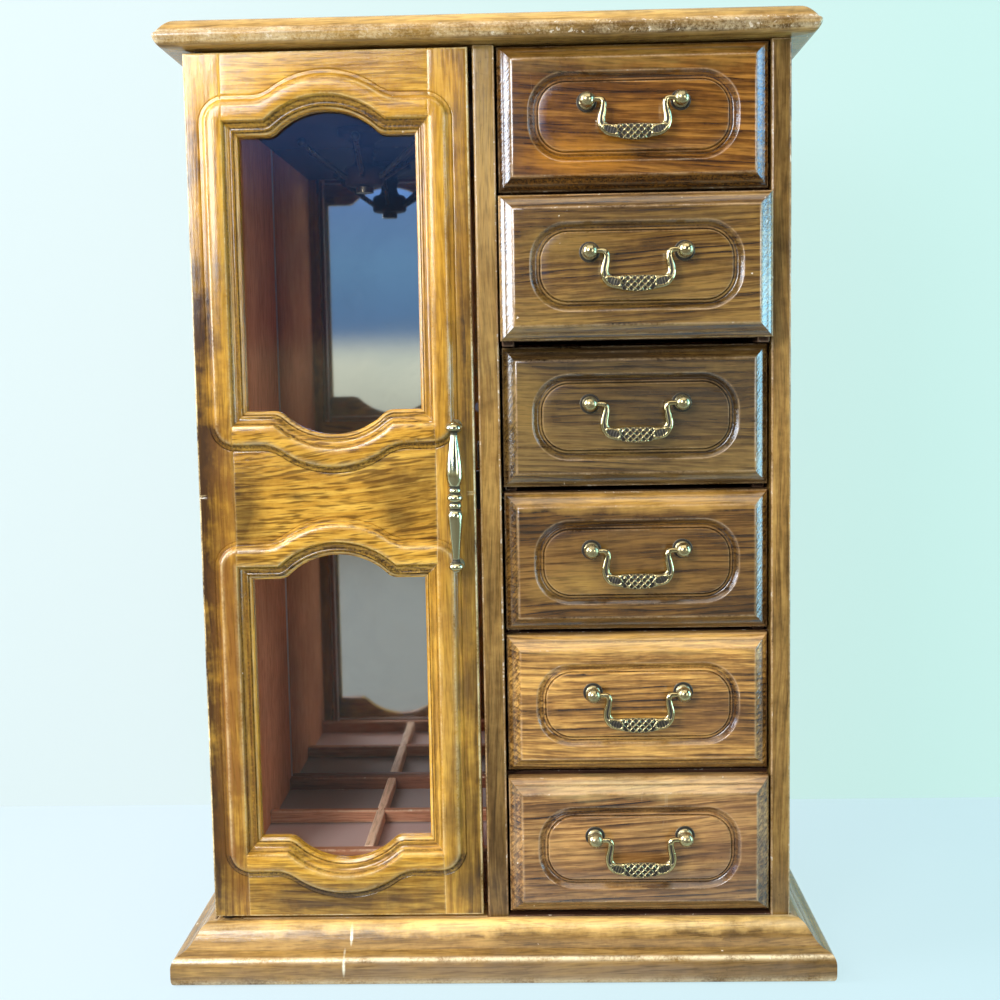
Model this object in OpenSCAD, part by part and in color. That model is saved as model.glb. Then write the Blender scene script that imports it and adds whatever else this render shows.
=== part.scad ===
// Tabletop jewellery armoire: glazed door, mirror-backed compartment with a turning
// necklace carousel, and six drawers. X is to the right, Y to the back, Z up.
// The origin is the centre of the flat underside.

/* [Carcass] */
// Width across the two side panels
carcass_w = 246.6; // [240:0.1:256]
// Depth from the front edges to the back
carcass_d = 132; // [124:0.5:150]
// Height of the front opening, base moulding to top board
opening_h = 365.4; // [355:0.1:380]
// Thickness of the side panel beside the drawers
side_t = 8.2; // [7:0.1:9]
// Thickness of the side panel behind the door's pivot edge
door_side_t = 11; // [10:0.1:13]
// Thickness of the centre partition
partition_t = 8.9; // [7:0.1:10]
// Clear width of the drawer bay
bay_w = 112.1; // [108:0.1:116]
// Thickness of the bottom board
bottom_t = 9; // [6:0.5:10]
// Thickness of the back panel
back_t = 3; // [2:0.5:5]
// Thickness of the mirror
mirror_t = 2; // [1.5:0.1:3]

/* [Base moulding] */
// Height of the base moulding
base_h = 23; // [22:0.1:26]
// How far the base moulding stands out
base_over = 16.7; // [15.5:0.1:20]
// Height of the moulding's upright face
base_face_h = 10.6; // [8:0.1:11]
// Flat ledge before the nose
base_ledge = 2.2; // [1:0.1:3]
// Radius of the rounded nose
nose_r = 5; // [4:0.1:5.5]
// Radius of the cove under the nose
cove_r = 6; // [5.5:0.1:6.5]
// Radius of the face's top edge
face_edge_r = 2.4; // [1:0.1:2.6]
// Radius of the face's bottom edge
foot_r = 1.8; // [1:0.1:2.5]

/* [Top board] */
// Thickness of the top board
top_t = 11.4; // [10:0.1:14]
// How far the top board stands out
top_over = 10.4; // [8:0.1:14]
// Radius under the top board's edge
top_edge_r = 3.6; // [2:0.1:4]
// Width of the sloping upper edge
top_slope_w = 6.6; // [5:0.1:8]

/* [Door] */
// Thickness of the door frame
door_t = 13; // [12:0.1:15]
// How far the door's flat field stands in front of the carcass
door_proud = 3; // [2:0.1:4]
// Height of the carved band above the field
band_proud = 2.5; // [1.5:0.1:3]
// Gap between the door and the partition
door_side_gap = 1.8; // [1:0.1:3]
// Gap under the door
door_bottom_gap = 2; // [1.5:0.1:3]
// Gap above the door
door_top_gap = 1.4; // [1:0.1:2.5]
// Gap between the door's back and the side panel's edge
door_back_gap = 0.3; // [0.3:0.1:1]
// Pivot to the door's outer edge
pivot_in = 5; // [4:0.1:6]
// Radius of the pivot pins
pivot_r = 1.5; // [1:0.1:2]
// How far a pivot pin reaches into its board and into the door
pivot_reach = 9; // [6:0.5:10]

/* [Door windows] */
// Left stile, outer edge to glass
left_stile_w = 21.1; // [20:0.1:24]
// Right stile, outer edge to glass
right_stile_w = 21.7; // [20.5:0.1:24]
// Top rail at the window's shoulder
top_rail_h = 32.6; // [31:0.1:38]
// Middle rail between the window shoulders
middle_rail_h = 69.1; // [60:0.1:76]
// Bottom rail at the window's shoulder
bottom_rail_h = 33.5; // [32:0.1:38]
// Rise of the arch above the shoulder
arch_h = 10; // [8:0.1:11]
// Half the span of the arch
arch_half = 24.8; // [23:0.1:25]
// Radius of the arch's shoulder curve at the glass
shoulder_r = 6; // [5.6:0.1:7]
// Width of the cove between band and glass
cove_w = 5.3; // [4.5:0.1:5.4]
// Width of the raised band with its stepped outer edge
band_w = 9.6; // [7:0.1:9.8]
// Width of the step along the band's outer edge
band_step = 2.2; // [0.5:0.1:3]
// Rise of the arch along the band's outer edge
band_arch_h = 9.6; // [8:0.1:10.5]
// Half the span of the arch along the band's outer edge
band_arch_half = 30; // [28:0.1:32]
// Corner radius of the band's outer edge
band_corner_r = 10; // [6:0.1:11]
// Thickness of the door glass
glass_t = 2; // [1.5:0.1:2.5]
// Width of the strips that hold the glass
retainer_w = 3.2; // [2.5:0.1:3.6]
// Depth of the strips that hold the glass
retainer_t = 3.5; // [2.5:0.1:4]

/* [Drawers] */
// Gap between neighbouring drawer fronts
front_gap = 2.4; // [1.5:0.1:3]
// Gap under the lowest drawer front
front_bottom_gap = 2.8; // [2:0.1:3.2]
// Gap above the top drawer front
front_top_gap = 0.8; // [0.5:0.1:2]
// Gap at each end of a drawer front
front_side_gap = 0.95; // [0.5:0.05:1.3]
// Thickness of a drawer front behind its moulded edge
front_t = 5.5; // [5:0.1:7]
// Depth of the moulded edge
edge_d = 5.7; // [4.5:0.1:6]
// Width of the moulded edge
edge_w = 5.9; // [5:0.1:7]
// How far a shut front's outer edge lies behind the carcass front
front_recess = 4; // [3:0.1:5]
// Thickness of the boards between drawers
shelf_t = 3; // [2.5:0.1:3.6]
// Height of the drawer box sides
box_h = 50; // [40:0.5:52]
// Room behind a shut drawer box
box_back_gap = 11.5; // [2:0.5:25]
// Thickness of the drawer box sides and back
box_t = 5; // [4:0.1:6]
// Thickness of the drawer box bottom
box_bottom_t = 2.5; // [2:0.1:3]
// Height of the drawer box bottom above the sides' lower edge
box_bottom_z = 2; // [1.5:0.1:3]
// Gap beside the drawer box
box_side_gap = 1.4; // [1.2:0.1:2]
// Running gap under a drawer box
run_gap = 0.2; // [0.15:0.05:0.3]
// End margin of the oval groove in a front
groove_end = 12.4; // [10:0.1:14]
// Upper and lower margin of the oval groove
groove_side = 11.3; // [9:0.1:13]
// Width of the oval groove
groove_w = 4.2; // [3:0.1:5]
// Depth of the oval groove
groove_d = 1.2; // [0.8:0.1:2]
// Corner radius of the oval groove
groove_r = 15.5; // [12:0.1:17]

/* [Bail pulls] */
// Distance between the two posts
post_spacing = 37.8; // [36:0.1:40]
// Height of the posts above the middle of the front
post_rise = 5.5; // [3:0.1:7]
// Radius of a post's ball
ball_r = 3; // [2.8:0.1:3.5]
// Distance from the front to the ball's centre
ball_out = 6; // [5:0.1:8]
// Radius of the rosette behind the ball
rosette_r = 4.1; // [3.6:0.1:5]
// Radius of a post's screw shank
shank_r = 1.5; // [1:0.1:1.6]
// Radius of the bail's end pins
bail_pin_r = 0.9; // [0.7:0.05:1.1]
// Radius of the bail's legs
bail_leg_r = 1.35; // [1.2:0.05:1.6]
// Distance from the posts down to the top of the grip
bail_drop = 10; // [9:0.1:12]
// Half the distance between the bail's upper corners
bail_top_half = 12.6; // [11.5:0.1:13]
// Half the width of the bail at its grip
bail_low_half = 14.4; // [13.5:0.1:15]
// Height of the grip at its ends
grip_h = 5.4; // [4:0.1:6]
// Thickness of the grip
grip_t = 2.8; // [2.6:0.1:3.4]

/* [Door pull] */
// Length of the turned pull
pull_len = 62.5; // [58:0.5:66]
// Widest radius of the pull
pull_r = 3.8; // [3.4:0.1:4.2]
// Distance from the door's field to the pull's axis
pull_out = 9.5; // [9.2:0.1:11]
// Distance from the door's free edge to the pull's axis
pull_in = 8; // [6.5:0.1:9]
// Height of the pull's lower end above the door's lower edge
pull_z = 149.3; // [140:0.5:160]
// Radius of the pull's two mounting posts
pull_post_r = 2.1; // [1.8:0.1:2.4]
// Radius of the pull's screws
pull_screw_r = 1.2; // [1:0.1:1.4]

/* [Compartment] */
// Thickness of the board under the door
sill_t = 6; // [4:0.5:8]
// Height of the compartment floor's top above the underside
floor_z = 41.2; // [38:0.1:46]
// Thickness of the compartment floor
floor_t = 6; // [4:0.5:8]
// Thickness of the felt
felt_t = 0.6; // [0.4:0.1:1]
// Height of the tray's rails above the underside
rail_z = 48; // [46:0.1:54]
// Thickness of the tray's rails
rail_t = 5; // [4:0.1:6]
// Thickness of the tray's dividers
divider_t = 4.2; // [3.5:0.1:5]
// Distance from the door's back to the tray's front rail
rail_back = 4.5; // [3:0.1:6]
// Distance from the top board down to the ceiling board's underside
ceiling_drop = 20.9; // [18:0.1:26]
// Thickness of the ceiling board
ceiling_t = 9; // [7:0.5:10]

/* [Carousel] */
// Length of the turned hub below the ceiling board
hub_len = 25.6; // [24:0.1:30]
// Radius of the hub's lower disc
hub_r = 9; // [8:0.1:11]
// Radius of the hub's upper flange
flange_r = 12; // [9:0.1:14]
// Radius of the carousel bolt
bolt_r = 2; // [1.5:0.1:2.5]
// Distance from the axis to a peg's tip
peg_reach = 30; // [26:0.5:36]
// Rise of a peg from the hub to its tip
peg_rise = 12; // [8:0.5:14]
// Radius of a peg
peg_r = 1.2; // [1:0.1:1.5]

/* [Catch] */
// Width of the magnet block
magnet_w = 10; // [8:0.5:12]
// Depth of the magnet block
magnet_d = 12; // [8:0.5:16]
// Height of the magnet block
magnet_h = 16; // [12:0.5:20]
// Thickness of the steel catch plate
catch_plate_t = 1; // [0.8:0.1:1.2]

/* [Fits] */
// Radial clearance of a pin that turns
turn_fit = 0.05; // [0.02:0.01:0.1]
// Radial clearance of the bails' pins in their balls
bail_fit = 0.1; // [0.05:0.01:0.1]
// Gap between faces that slide or swing past each other
face_gap = 0.3; // [0.3:0.1:0.5]

/* [Hidden] */
$fn = 48;
drawer_count = 6;
peg_count = 6;
// How far each drawer stands out in the stored pose, top drawer first
stand_out = [1.6, 13.9, 0, 0, 0, 4.5];
front_y = base_over - (carcass_d + base_over) / 2;
half_w = carcass_w / 2;
stile_top = base_h + opening_h;
bay_x1 = half_w - side_t;
bay_x0 = bay_x1 - bay_w;
part_x0 = bay_x0 - partition_t;
room_x0 = -half_w + door_side_t;
room_x = (room_x0 + part_x0) / 2;
back_y = carcass_d - back_t;
mirror_y = back_y - mirror_t;
door_y0 = -door_proud;
door_y1 = door_y0 + door_t;
door_x0 = -half_w;
door_x1 = part_x0 - door_side_gap;
door_z0 = base_h + door_bottom_gap;
door_z1 = stile_top - door_top_gap;
pivot_x = door_x0 + pivot_in;
pivot_y = door_y0 + door_proud + pivot_in - 2;
panel_y = door_y1 + door_back_gap;
glass_x0 = door_x0 + left_stile_w;
glass_x1 = door_x1 - right_stile_w;
window_x = (glass_x0 + glass_x1) / 2;
glass_half_w = (glass_x1 - glass_x0) / 2;
glass_half_h = (door_z1 - door_z0 - top_rail_h - middle_rail_h - bottom_rail_h) / 4;
window_z = [door_z0 + bottom_rail_h + glass_half_h, door_z1 - top_rail_h - glass_half_h];
rabbet_y = door_y1 - retainer_t - glass_t - 1;
rabbet_in = 4.6;
front_h = (opening_h - front_bottom_gap - front_top_gap - (drawer_count - 1) * front_gap) / drawer_count;
front_w = bay_w - 2 * front_side_gap;
bay_x = (bay_x0 + bay_x1) / 2;
pitch = front_h + front_gap;
shelf_y = front_recess + front_t + face_gap;
// The shelves are raised so that a pulled drawer box clears the front below it.
shelf_up = max(0, front_bottom_gap - front_gap + face_gap - run_gap);
rail_y = door_y1 + rail_back;
floor_y1 = mirror_y - rail_t;
room_y = (rail_y + rail_t + floor_y1) / 2;
ceiling_z = stile_top - ceiling_drop;
pull_x = door_x1 - pull_in;
pull_y = door_y0 - pull_out;
pull_low_z = door_z0 + pull_z;
// The pull's outline is drawn on a spindle of this length and stretched to pull_len.
plan_len = 62.5;
pull_scale = pull_len / plan_len;
pull_post_z = [pull_low_z + 2.2 * pull_scale, pull_low_z + 60 * pull_scale];
catch_z = (door_z0 + door_z1) / 2;
hub_z = ceiling_z - face_gap - hub_len;
lap_z = (floor_z + felt_t + rail_z) / 2;
bolt_head_h = 2.6;
collar_h = door_bottom_gap - 0.1;
// A peg starts this far inside the hub's rim, and its hole is this much wider.
peg_in = 3.5;
peg_fit = 0.02;
peg_low_z = hub_z + 4;
peg_angle = atan2(peg_rise, peg_reach - hub_r);
peg_len = (peg_reach - hub_r + peg_in) / cos(peg_angle);
field_y = front_recess - edge_d;
box_y = front_recess + front_t;
pine = "#a8702c";
walnut = "#7a4a24";
inner_red = "#6b3a26";
brass = "#b99a55";
steel = "#b8bcc0";

DRAWER_PARTS = ["front", "box", "posts", "bail"];

// Points along an arc from angle a0 to a1.
function arc(cx, cy, r, a0, a1, n = 6) =
    [for (i = [0:n]) let (a = a0 + (a1 - a0) * i / n) [cx + r * cos(a), cy + r * sin(a)]];
// Points of a shallow curve from p to q that swells to its left by s.
function bulge(p, q, s, n = 6) =
    let (d = q - p, l = norm(d), m = [-d[1], d[0]] / l)
    [for (i = [0:n]) let (t = i / n) p + t * d + m * 4 * s * t * (1 - t)];
function turned_half(points) = [for (p = points) [-p[0], -p[1]]];

// The upper half of a window outline: shoulders, S-curves and arch, right to left.
// w and h are half sizes, k and a the arch's rise and half span, rc the shoulder
// curve's radius and rr the outer corner's radius.
function window_half(w, h, k, a, rc, rr) =
    let (rv = (a * a + k * k) / (2 * k) - rc, f = atan2(a, rv + rc - k))
    concat(
        rr > 0 ? arc(w - rr, h - rr, rr, 0, 90) : [[w, h]],
        arc(a, h + rc, rc, 270, 270 - f, 4),
        arc(0, h + k - rv, rv, 90 - f + 3, 90 + f - 3, 12),
        arc(-a, h + rc, rc, 270 + f, 270, 4),
        rr > 0 ? arc(-w + rr, h - rr, rr, 90, 180) : [[-w, h]]);
function window_outline(w, h, k, a, rc, rr) =
    let (half = window_half(w, h, k, a, rc, rr)) concat(half, turned_half(half));
// The glass outline grown outwards by d.
function cove_outline(d) =
    window_outline(glass_half_w + d, glass_half_h + d, arch_h, arch_half, shoulder_r - d, 0);
// The band's outer outline drawn in by d.
function band_outline(d) =
    let (m = cove_w + band_w - d)
    window_outline(glass_half_w + m, glass_half_h + m, band_arch_h, band_arch_half, 14 + d, band_corner_r - d);

// Section of the base moulding: out from the carcass face, and up.
function base_section() =
    let (nx = base_ledge, nz = base_h - nose_r, cx = nx + nose_r + cove_r - 0.1, cz = nz + 1)
    concat(
        [[0, 0]],
        arc(base_over - foot_r, foot_r, foot_r, -90, 0, 4),
        arc(base_over - face_edge_r, base_face_h - face_edge_r, face_edge_r, 0, 62, 4),
        arc(cx, cz, cove_r, 243, 186),
        arc(nx, nz, nose_r, 5, 90),
        [[0, base_h]]);
// Section of the top board's edge: out from the carcass face, and up from its underside.
function top_section() =
    concat(
        arc(top_over - top_edge_r, top_edge_r, top_edge_r, -90, 15, 6),
        bulge([top_over - 0.2, top_edge_r + 1.5], [top_over - top_slope_w, top_t], -0.45));
// Half section of a drawer front: in from its edge, and forwards from the edge line.
function front_edge() =
    [[0, 0], [0.4 * edge_w, 0.38 * edge_d], [0.4 * edge_w, 0.5 * edge_d], [edge_w, edge_d]];

// Everything is drawn from the front plane of the stiles and moved to the frame here.
module placed() {
    translate([0, front_y, 0]) children();
}
module box(x0, x1, y0, y1, z0, z1) {
    translate([x0, y0, z0]) cube([x1 - x0, y1 - y0, z1 - z0]);
}
// A flat shape in X and Z, given thickness from y0 to y1.
module upright(y0, y1) {
    translate([0, y1, 0]) rotate([90, 0, 0]) linear_extrude(y1 - y0) children();
}
module bar_y(x, z, r, y0, y1) {
    translate([x, y1, z]) rotate([90, 0, 0]) cylinder(h = y1 - y0, r = r);
}
module bar_x(y, z, r, x0, x1) {
    translate([x0, y, z]) rotate([0, 90, 0]) cylinder(h = x1 - x0, r = r);
}
// A rod between two points of one upright plane.
module rod(p, q, r) {
    d = q - p;
    translate([p[0], 0, p[1]]) rotate([0, atan2(d[0], d[1]), 0]) cylinder(h = norm(d), r = r);
}
module rounded(w, h, r) {
    square([w - 2 * r, h], center = true);
    square([w, h - 2 * r], center = true);
    for (x = [-1, 1]) for (z = [-1, 1]) translate([x * (w / 2 - r), z * (h / 2 - r)]) circle(r = r);
}

module base_front_moulding() {
    color(pine) placed() intersection() {
        translate([-half_w - base_over, 0, 0]) rotate([90, 0, 90])
            linear_extrude(carcass_w + 2 * base_over)
                polygon([for (p = base_section()) [-p[0], p[1]]]);
        linear_extrude(base_h) polygon([[-half_w - base_over, -base_over], [half_w + base_over, -base_over],
            [half_w, 0], [-half_w, 0]]);
    }
}
module base_side() {
    intersection() {
        translate([half_w, carcass_d, 0]) rotate([90, 0, 0])
            linear_extrude(carcass_d + base_over) polygon(base_section());
        linear_extrude(base_h) polygon([[half_w, 0], [half_w + base_over, -base_over],
            [half_w + base_over, carcass_d], [half_w, carcass_d]]);
    }
}
module base_left_moulding() {
    color(pine) placed() mirror([1, 0, 0]) base_side();
}
module base_right_moulding() {
    color(pine) placed() base_side();
}
module bottom_board() {
    color(pine) placed() box(-half_w, half_w, 0, carcass_d, 0, bottom_t);
}
module left_side_panel() {
    color(pine) placed() difference() {
        box(-half_w, room_x0, 0, carcass_d, bottom_t, stile_top);
        box(-half_w - 1, room_x0 + 1, -1, panel_y, base_h, stile_top + 1);
        translate([pivot_x, pivot_y, base_h - pivot_reach]) cylinder(h = pivot_reach + 1, r = pivot_r);
    }
}
module right_side_panel() {
    color(pine) placed() box(bay_x1, half_w, 0, carcass_d, bottom_t, stile_top);
}
module centre_partition() {
    color(pine) placed() box(part_x0, bay_x0, 0, back_y, bottom_t, stile_top);
}
module top_board() {
    edge = top_section();
    side = concat(
        [for (p = edge) [half_w + p[0], p[1]]],
        [for (i = [len(edge) - 1:-1:0]) [-half_w - edge[i][0], edge[i][1]]]);
    front = concat([for (p = edge) [-p[0], p[1]]], [[carcass_d, top_t], [carcass_d, 0]]);
    color(pine) placed() difference() {
        translate([0, 0, stile_top]) intersection() {
            translate([0, carcass_d, 0]) rotate([90, 0, 0])
                linear_extrude(carcass_d + top_over + 1) polygon(side);
            translate([-half_w - top_over - 1, 0, 0]) rotate([90, 0, 90])
                linear_extrude(carcass_w + 2 * top_over + 2) polygon(front);
        }
        translate([pivot_x, pivot_y, stile_top - 1]) cylinder(h = pivot_reach - 1, r = pivot_r);
    }
}
module back_panel() {
    color(inner_red) placed() box(room_x0, bay_x1, back_y, carcass_d, bottom_t, stile_top);
}
module mirror_sheet() {
    color(steel) placed() box(room_x0, part_x0, mirror_y, back_y, bottom_t, stile_top);
}
module drawer_shelves() {
    color(inner_red) placed() for (k = [0:drawer_count - 1])
        box(bay_x0, bay_x1, k == 0 ? 0 : shelf_y, back_y,
            base_h + k * pitch + shelf_up - shelf_t, base_h + k * pitch + shelf_up);
}
module door_sill() {
    color(pine) placed() box(room_x0, part_x0, 0, mirror_y, base_h - sill_t, base_h);
}
module compartment_floor() {
    color(inner_red) placed() box(room_x0, part_x0, rail_y + rail_t, mirror_y, floor_z - floor_t, floor_z);
}
module floor_felt() {
    color("#b08c84") placed() box(room_x0, part_x0, rail_y + rail_t, floor_y1, floor_z, floor_z + felt_t);
}
module tray_front_rail() {
    color("#a55a38") placed() box(room_x0, part_x0, rail_y, rail_y + rail_t, base_h, rail_z);
}
module tray_rear_rail() {
    color("#a55a38") placed() box(room_x0, part_x0, floor_y1, mirror_y, floor_z, rail_z);
}
module tray_cross_divider() {
    color("#a55a38") placed() difference() {
        box(room_x0, part_x0, room_y - divider_t / 2, room_y + divider_t / 2, floor_z + felt_t, rail_z);
        box(room_x - divider_t / 2, room_x + divider_t / 2,
            room_y - divider_t, room_y + divider_t, lap_z, rail_z + 1);
    }
}
module tray_long_divider() {
    color("#b9764a") placed() difference() {
        box(room_x - divider_t / 2, room_x + divider_t / 2, rail_y + rail_t, floor_y1,
            floor_z + felt_t, rail_z);
        box(room_x - divider_t, room_x + divider_t,
            room_y - divider_t / 2, room_y + divider_t / 2, 0, lap_z);
    }
}
module ceiling_board() {
    color(inner_red) placed() difference() {
        box(room_x0, part_x0, door_y1 + 2, mirror_y, ceiling_z, ceiling_z + ceiling_t);
        translate([room_x, room_y, ceiling_z - 1]) cylinder(h = ceiling_t + 2, r = bolt_r);
    }
}
module carousel_bolt() {
    color(steel) placed() translate([room_x, room_y, 0]) {
        translate([0, 0, hub_z - face_gap - bolt_head_h]) cylinder(h = bolt_head_h, r = 2 * bolt_r);
        translate([0, 0, hub_z - face_gap])
            cylinder(h = ceiling_z + ceiling_t + 4 - hub_z + face_gap, r = bolt_r);
        translate([0, 0, ceiling_z + ceiling_t]) cylinder(h = 3.2, r = 1.8 * bolt_r, $fn = 6);
    }
}
module magnet_catch() {
    y0 = door_y1 + catch_plate_t + face_gap;
    color("#4a3a30") placed()
        box(part_x0 - magnet_w, part_x0, y0, y0 + magnet_d, catch_z - magnet_h / 2, catch_z + magnet_h / 2);
}
module door_pivot_pins() {
    color(brass) placed() translate([pivot_x, pivot_y, 0]) {
        translate([0, 0, base_h - pivot_reach])
            cylinder(h = pivot_reach + door_bottom_gap + pivot_reach, r = pivot_r);
        translate([0, 0, base_h]) cylinder(h = collar_h, r = 2 * pivot_r);
        translate([0, 0, door_z1 - pivot_reach]) cylinder(h = door_top_gap + 2 * pivot_reach - 2, r = pivot_r);
    }
}

// The whole carved door frame, before it is cut into stiles and rails.
module door_form() {
    difference() {
        union() {
            box(door_x0, door_x1, door_y0, door_y1, door_z0, door_z1);
            for (z = window_z) translate([window_x, 0, z]) {
                upright(door_y0 - band_proud / 2, door_y0) polygon(band_outline(0));
                upright(door_y0 - band_proud, door_y0 - band_proud / 2) polygon(band_outline(band_step));
            }
        }
        for (z = window_z) translate([window_x, 0, z]) {
            upright(door_y0 - band_proud - 1, door_y0 - 0.4) polygon(cove_outline(cove_w));
            upright(door_y0 - 1, door_y0 + 0.8) polygon(cove_outline(0.7 * cove_w));
            upright(door_y0, door_y0 + 2.6) polygon(cove_outline(0.3 * cove_w));
            upright(door_y0, door_y1 + 1) polygon(cove_outline(0));
        }
        for (z = window_z) window_block(z, rabbet_y, door_y1 + 1, 0);
    }
}
// The rectangular block behind a window, drawn in by m: rabbet, glass and retainers.
module window_block(z, y0, y1, m) {
    hw = glass_half_w + rabbet_in - m;
    hh = glass_half_h + arch_h + rabbet_in - m;
    box(window_x - hw, window_x + hw, y0, y1, z - hh, z + hh);
}
// The part of the door front that belongs to the left stile, s = -1, or the right one, s = 1.
module stile_region(s) {
    outer = s < 0 ? door_x0 - 1 : door_x1 + 1;
    function lip(z, q) = [[window_x + s * (glass_half_w + cove_w), z - q * (glass_half_h + cove_w)],
        [window_x + s * glass_half_w, z - q * glass_half_h]];
    notch = [for (z = window_z) each concat(lip(z, 1), [lip(z, -1)[1], lip(z, -1)[0]])];
    polygon(concat([[outer, door_z0 - 1], [window_x + s * (glass_half_w + cove_w), door_z0 - 1]], notch,
        [[window_x + s * (glass_half_w + cove_w), door_z1 + 1], [outer, door_z1 + 1]]));
}
module stile(s) {
    intersection() {
        door_form();
        upright(door_y0 - band_proud - 2, door_y1 + 2) stile_region(s);
    }
}
// One end of a rail's region: the edge along the window at z, above it q = 1 or below it q = -1.
function rail_end(z, q) =
    let (w = glass_half_w, h = glass_half_h, m = cove_w)
    [[window_x - w - m, z + q * (h + m)], [window_x - w, z + q * h], [window_x + w, z + q * h],
     [window_x + w + m, z + q * (h + m)]];
function rail_edge(z) = [[window_x - glass_half_w - cove_w, z], [window_x + glass_half_w + cove_w, z]];
module rail(low, high) {
    intersection() {
        door_form();
        upright(door_y0 - band_proud - 2, door_y1 + 2)
            polygon(concat(low, [for (i = [len(high) - 1:-1:0]) high[i]]));
    }
}
module door_left_stile() {
    r = door_y1 - pivot_y;
    color(pine) placed() difference() {
        stile(-1);
        difference() {
            box(door_x0 - 1, pivot_x, pivot_y, door_y1 + 1, door_z0 - 1, door_z1 + 1);
            translate([pivot_x, pivot_y, door_z0 - 2]) cylinder(h = door_z1 - door_z0 + 4, r = r);
        }
        translate([pivot_x, pivot_y, door_z0 - 1]) cylinder(h = pivot_reach + 1.5, r = pivot_r + turn_fit);
        translate([pivot_x, pivot_y, door_z1 - pivot_reach - 0.5])
            cylinder(h = pivot_reach + 1.5, r = pivot_r + turn_fit);
    }
}
module door_right_stile() {
    color(pine) placed() difference() {
        stile(1);
        for (z = pull_post_z) {
            bar_y(pull_x, z, pull_screw_r + turn_fit, door_y0 - 1, door_y1 + 1);
            bar_y(pull_x, z, pull_post_r + 0.1, door_y0 - band_proud - 2, door_y0);
        }
    }
}
module door_top_rail() {
    color(pine) placed() rail(rail_end(window_z[1], 1), rail_edge(door_z1 + 1));
}
module door_middle_rail() {
    color(pine) placed() rail(rail_end(window_z[0], 1), rail_end(window_z[1], -1));
}
module door_bottom_rail() {
    color(pine) placed() rail(rail_edge(door_z0 - 1), rail_end(window_z[0], -1));
}
module glass(z) {
    color("#c8dce0", 0.35) placed() window_block(z, rabbet_y, rabbet_y + glass_t, 0);
}
module upper_glass() {
    glass(window_z[1]);
}
module lower_glass() {
    glass(window_z[0]);
}
module glass_retainers() {
    hw = glass_half_w + rabbet_in;
    hh = glass_half_h + arch_h + rabbet_in;
    y0 = rabbet_y + glass_t;
    color(inner_red) placed() for (z = window_z) for (s = [-1, 1]) {
        side = window_x + s * (hw - retainer_w / 2);
        end = z + s * (hh - retainer_w / 2);
        box(side - retainer_w / 2, side + retainer_w / 2, y0, y0 + retainer_t, z - hh, z + hh);
        box(window_x - hw + retainer_w, window_x + hw - retainer_w, y0, y0 + retainer_t,
            end - retainer_w / 2, end + retainer_w / 2);
    }
}
// Outline of the turned pull: radius and height.
function pull_outline() = [for (p = pull_plan()) [p[0], p[1] * pull_scale]];
function pull_plan() =
    let (body = 0.88 * pull_r, neck = 0.45 * pull_r, ring = 0.76 * pull_r, collar = 0.88 * pull_r)
    concat(
        [[0, 0], [0.55 * pull_r, 0.2], [collar, 1.5], [collar, 2.9], [0.5 * pull_r, 4.2]],
        bulge([neck, 5.6], [body, 25], -0.35, 6),
        [[0.6 * pull_r, 26.6], [ring, 27.2], [ring, 28.5], [0.62 * pull_r, 29.1],
         [0.93 * pull_r, 29.9], [0.93 * pull_r, 32], [0.62 * pull_r, 32.8],
         [ring, 33.4], [ring, 34.7], [0.6 * pull_r, 35.3]],
        arc(pull_r - 4.2, 40, 4.2, -55, 0, 4),
        bulge([0.98 * pull_r, 42.5], [neck, 57.6], -0.25, 5),
        [[0.5 * pull_r, 58.6], [collar, 59.3], [collar, 60.8], [0.5 * pull_r, 61.9], [0, plan_len]]);
module door_pull() {
    color(brass) placed() difference() {
        union() {
            translate([pull_x, pull_y, pull_low_z]) rotate_extrude() polygon(pull_outline());
            for (z = pull_post_z) bar_y(pull_x, z, pull_post_r, pull_y, door_y0);
        }
        for (z = pull_post_z) bar_y(pull_x, z, pull_screw_r, door_y0 - 5, door_y0 + 1);
    }
}
module door_pull_screws() {
    color(steel) placed() for (z = pull_post_z) {
        bar_y(pull_x, z, pull_screw_r, door_y0 - 5, door_y1 + 0.5);
        bar_y(pull_x, z, 2 * pull_screw_r, door_y1, door_y1 + 1.5);
    }
}
module catch_plate() {
    color(steel) placed() box(door_x1 - magnet_w + 1, door_x1 - 1, door_y1, door_y1 + catch_plate_t,
        catch_z - magnet_h / 2, catch_z + magnet_h / 2);
}

// Places its children along each peg's axis, from the point where it enters the hub.
module each_peg() {
    for (i = [0:peg_count - 1])
        rotate([0, 0, 30 + i * 360 / peg_count])
            translate([hub_r - peg_in, 0, peg_low_z - peg_in * tan(peg_angle)])
                rotate([0, 90 - peg_angle, 0]) children();
}
module carousel_hub() {
    color("#5b3a22") placed() translate([room_x, room_y, 0]) difference() {
        translate([0, 0, hub_z]) rotate_extrude() polygon(concat(
            [[0, 0], [hub_r - 2, 0]],
            arc(hub_r - 2, 2, 2, -90, 0, 4),
            arc(hub_r - 2, 7, 2, 0, 90, 4),
            [[hub_r / 2, 10.5], [hub_r / 2, hub_len - 7], [flange_r - 1, hub_len - 3.5],
             [flange_r, hub_len - 2.5], [flange_r, hub_len], [0, hub_len]]));
        translate([0, 0, hub_z - 1]) cylinder(h = hub_len + 2, r = bolt_r + turn_fit);
        each_peg() cylinder(h = peg_len, r = peg_r + peg_fit);
    }
}
module carousel_pegs() {
    color(brass) placed() translate([room_x, room_y, 0]) each_peg() {
        cylinder(h = peg_len, r = peg_r);
        translate([0, 0, peg_len]) sphere(r = 1.7 * peg_r);
    }
}

function drawer_z(k) = base_h + (drawer_count - k) * pitch;
function front_z(k) = drawer_z(k) + front_bottom_gap;
function post_z(k) = front_z(k) + front_h / 2 + post_rise;
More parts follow.
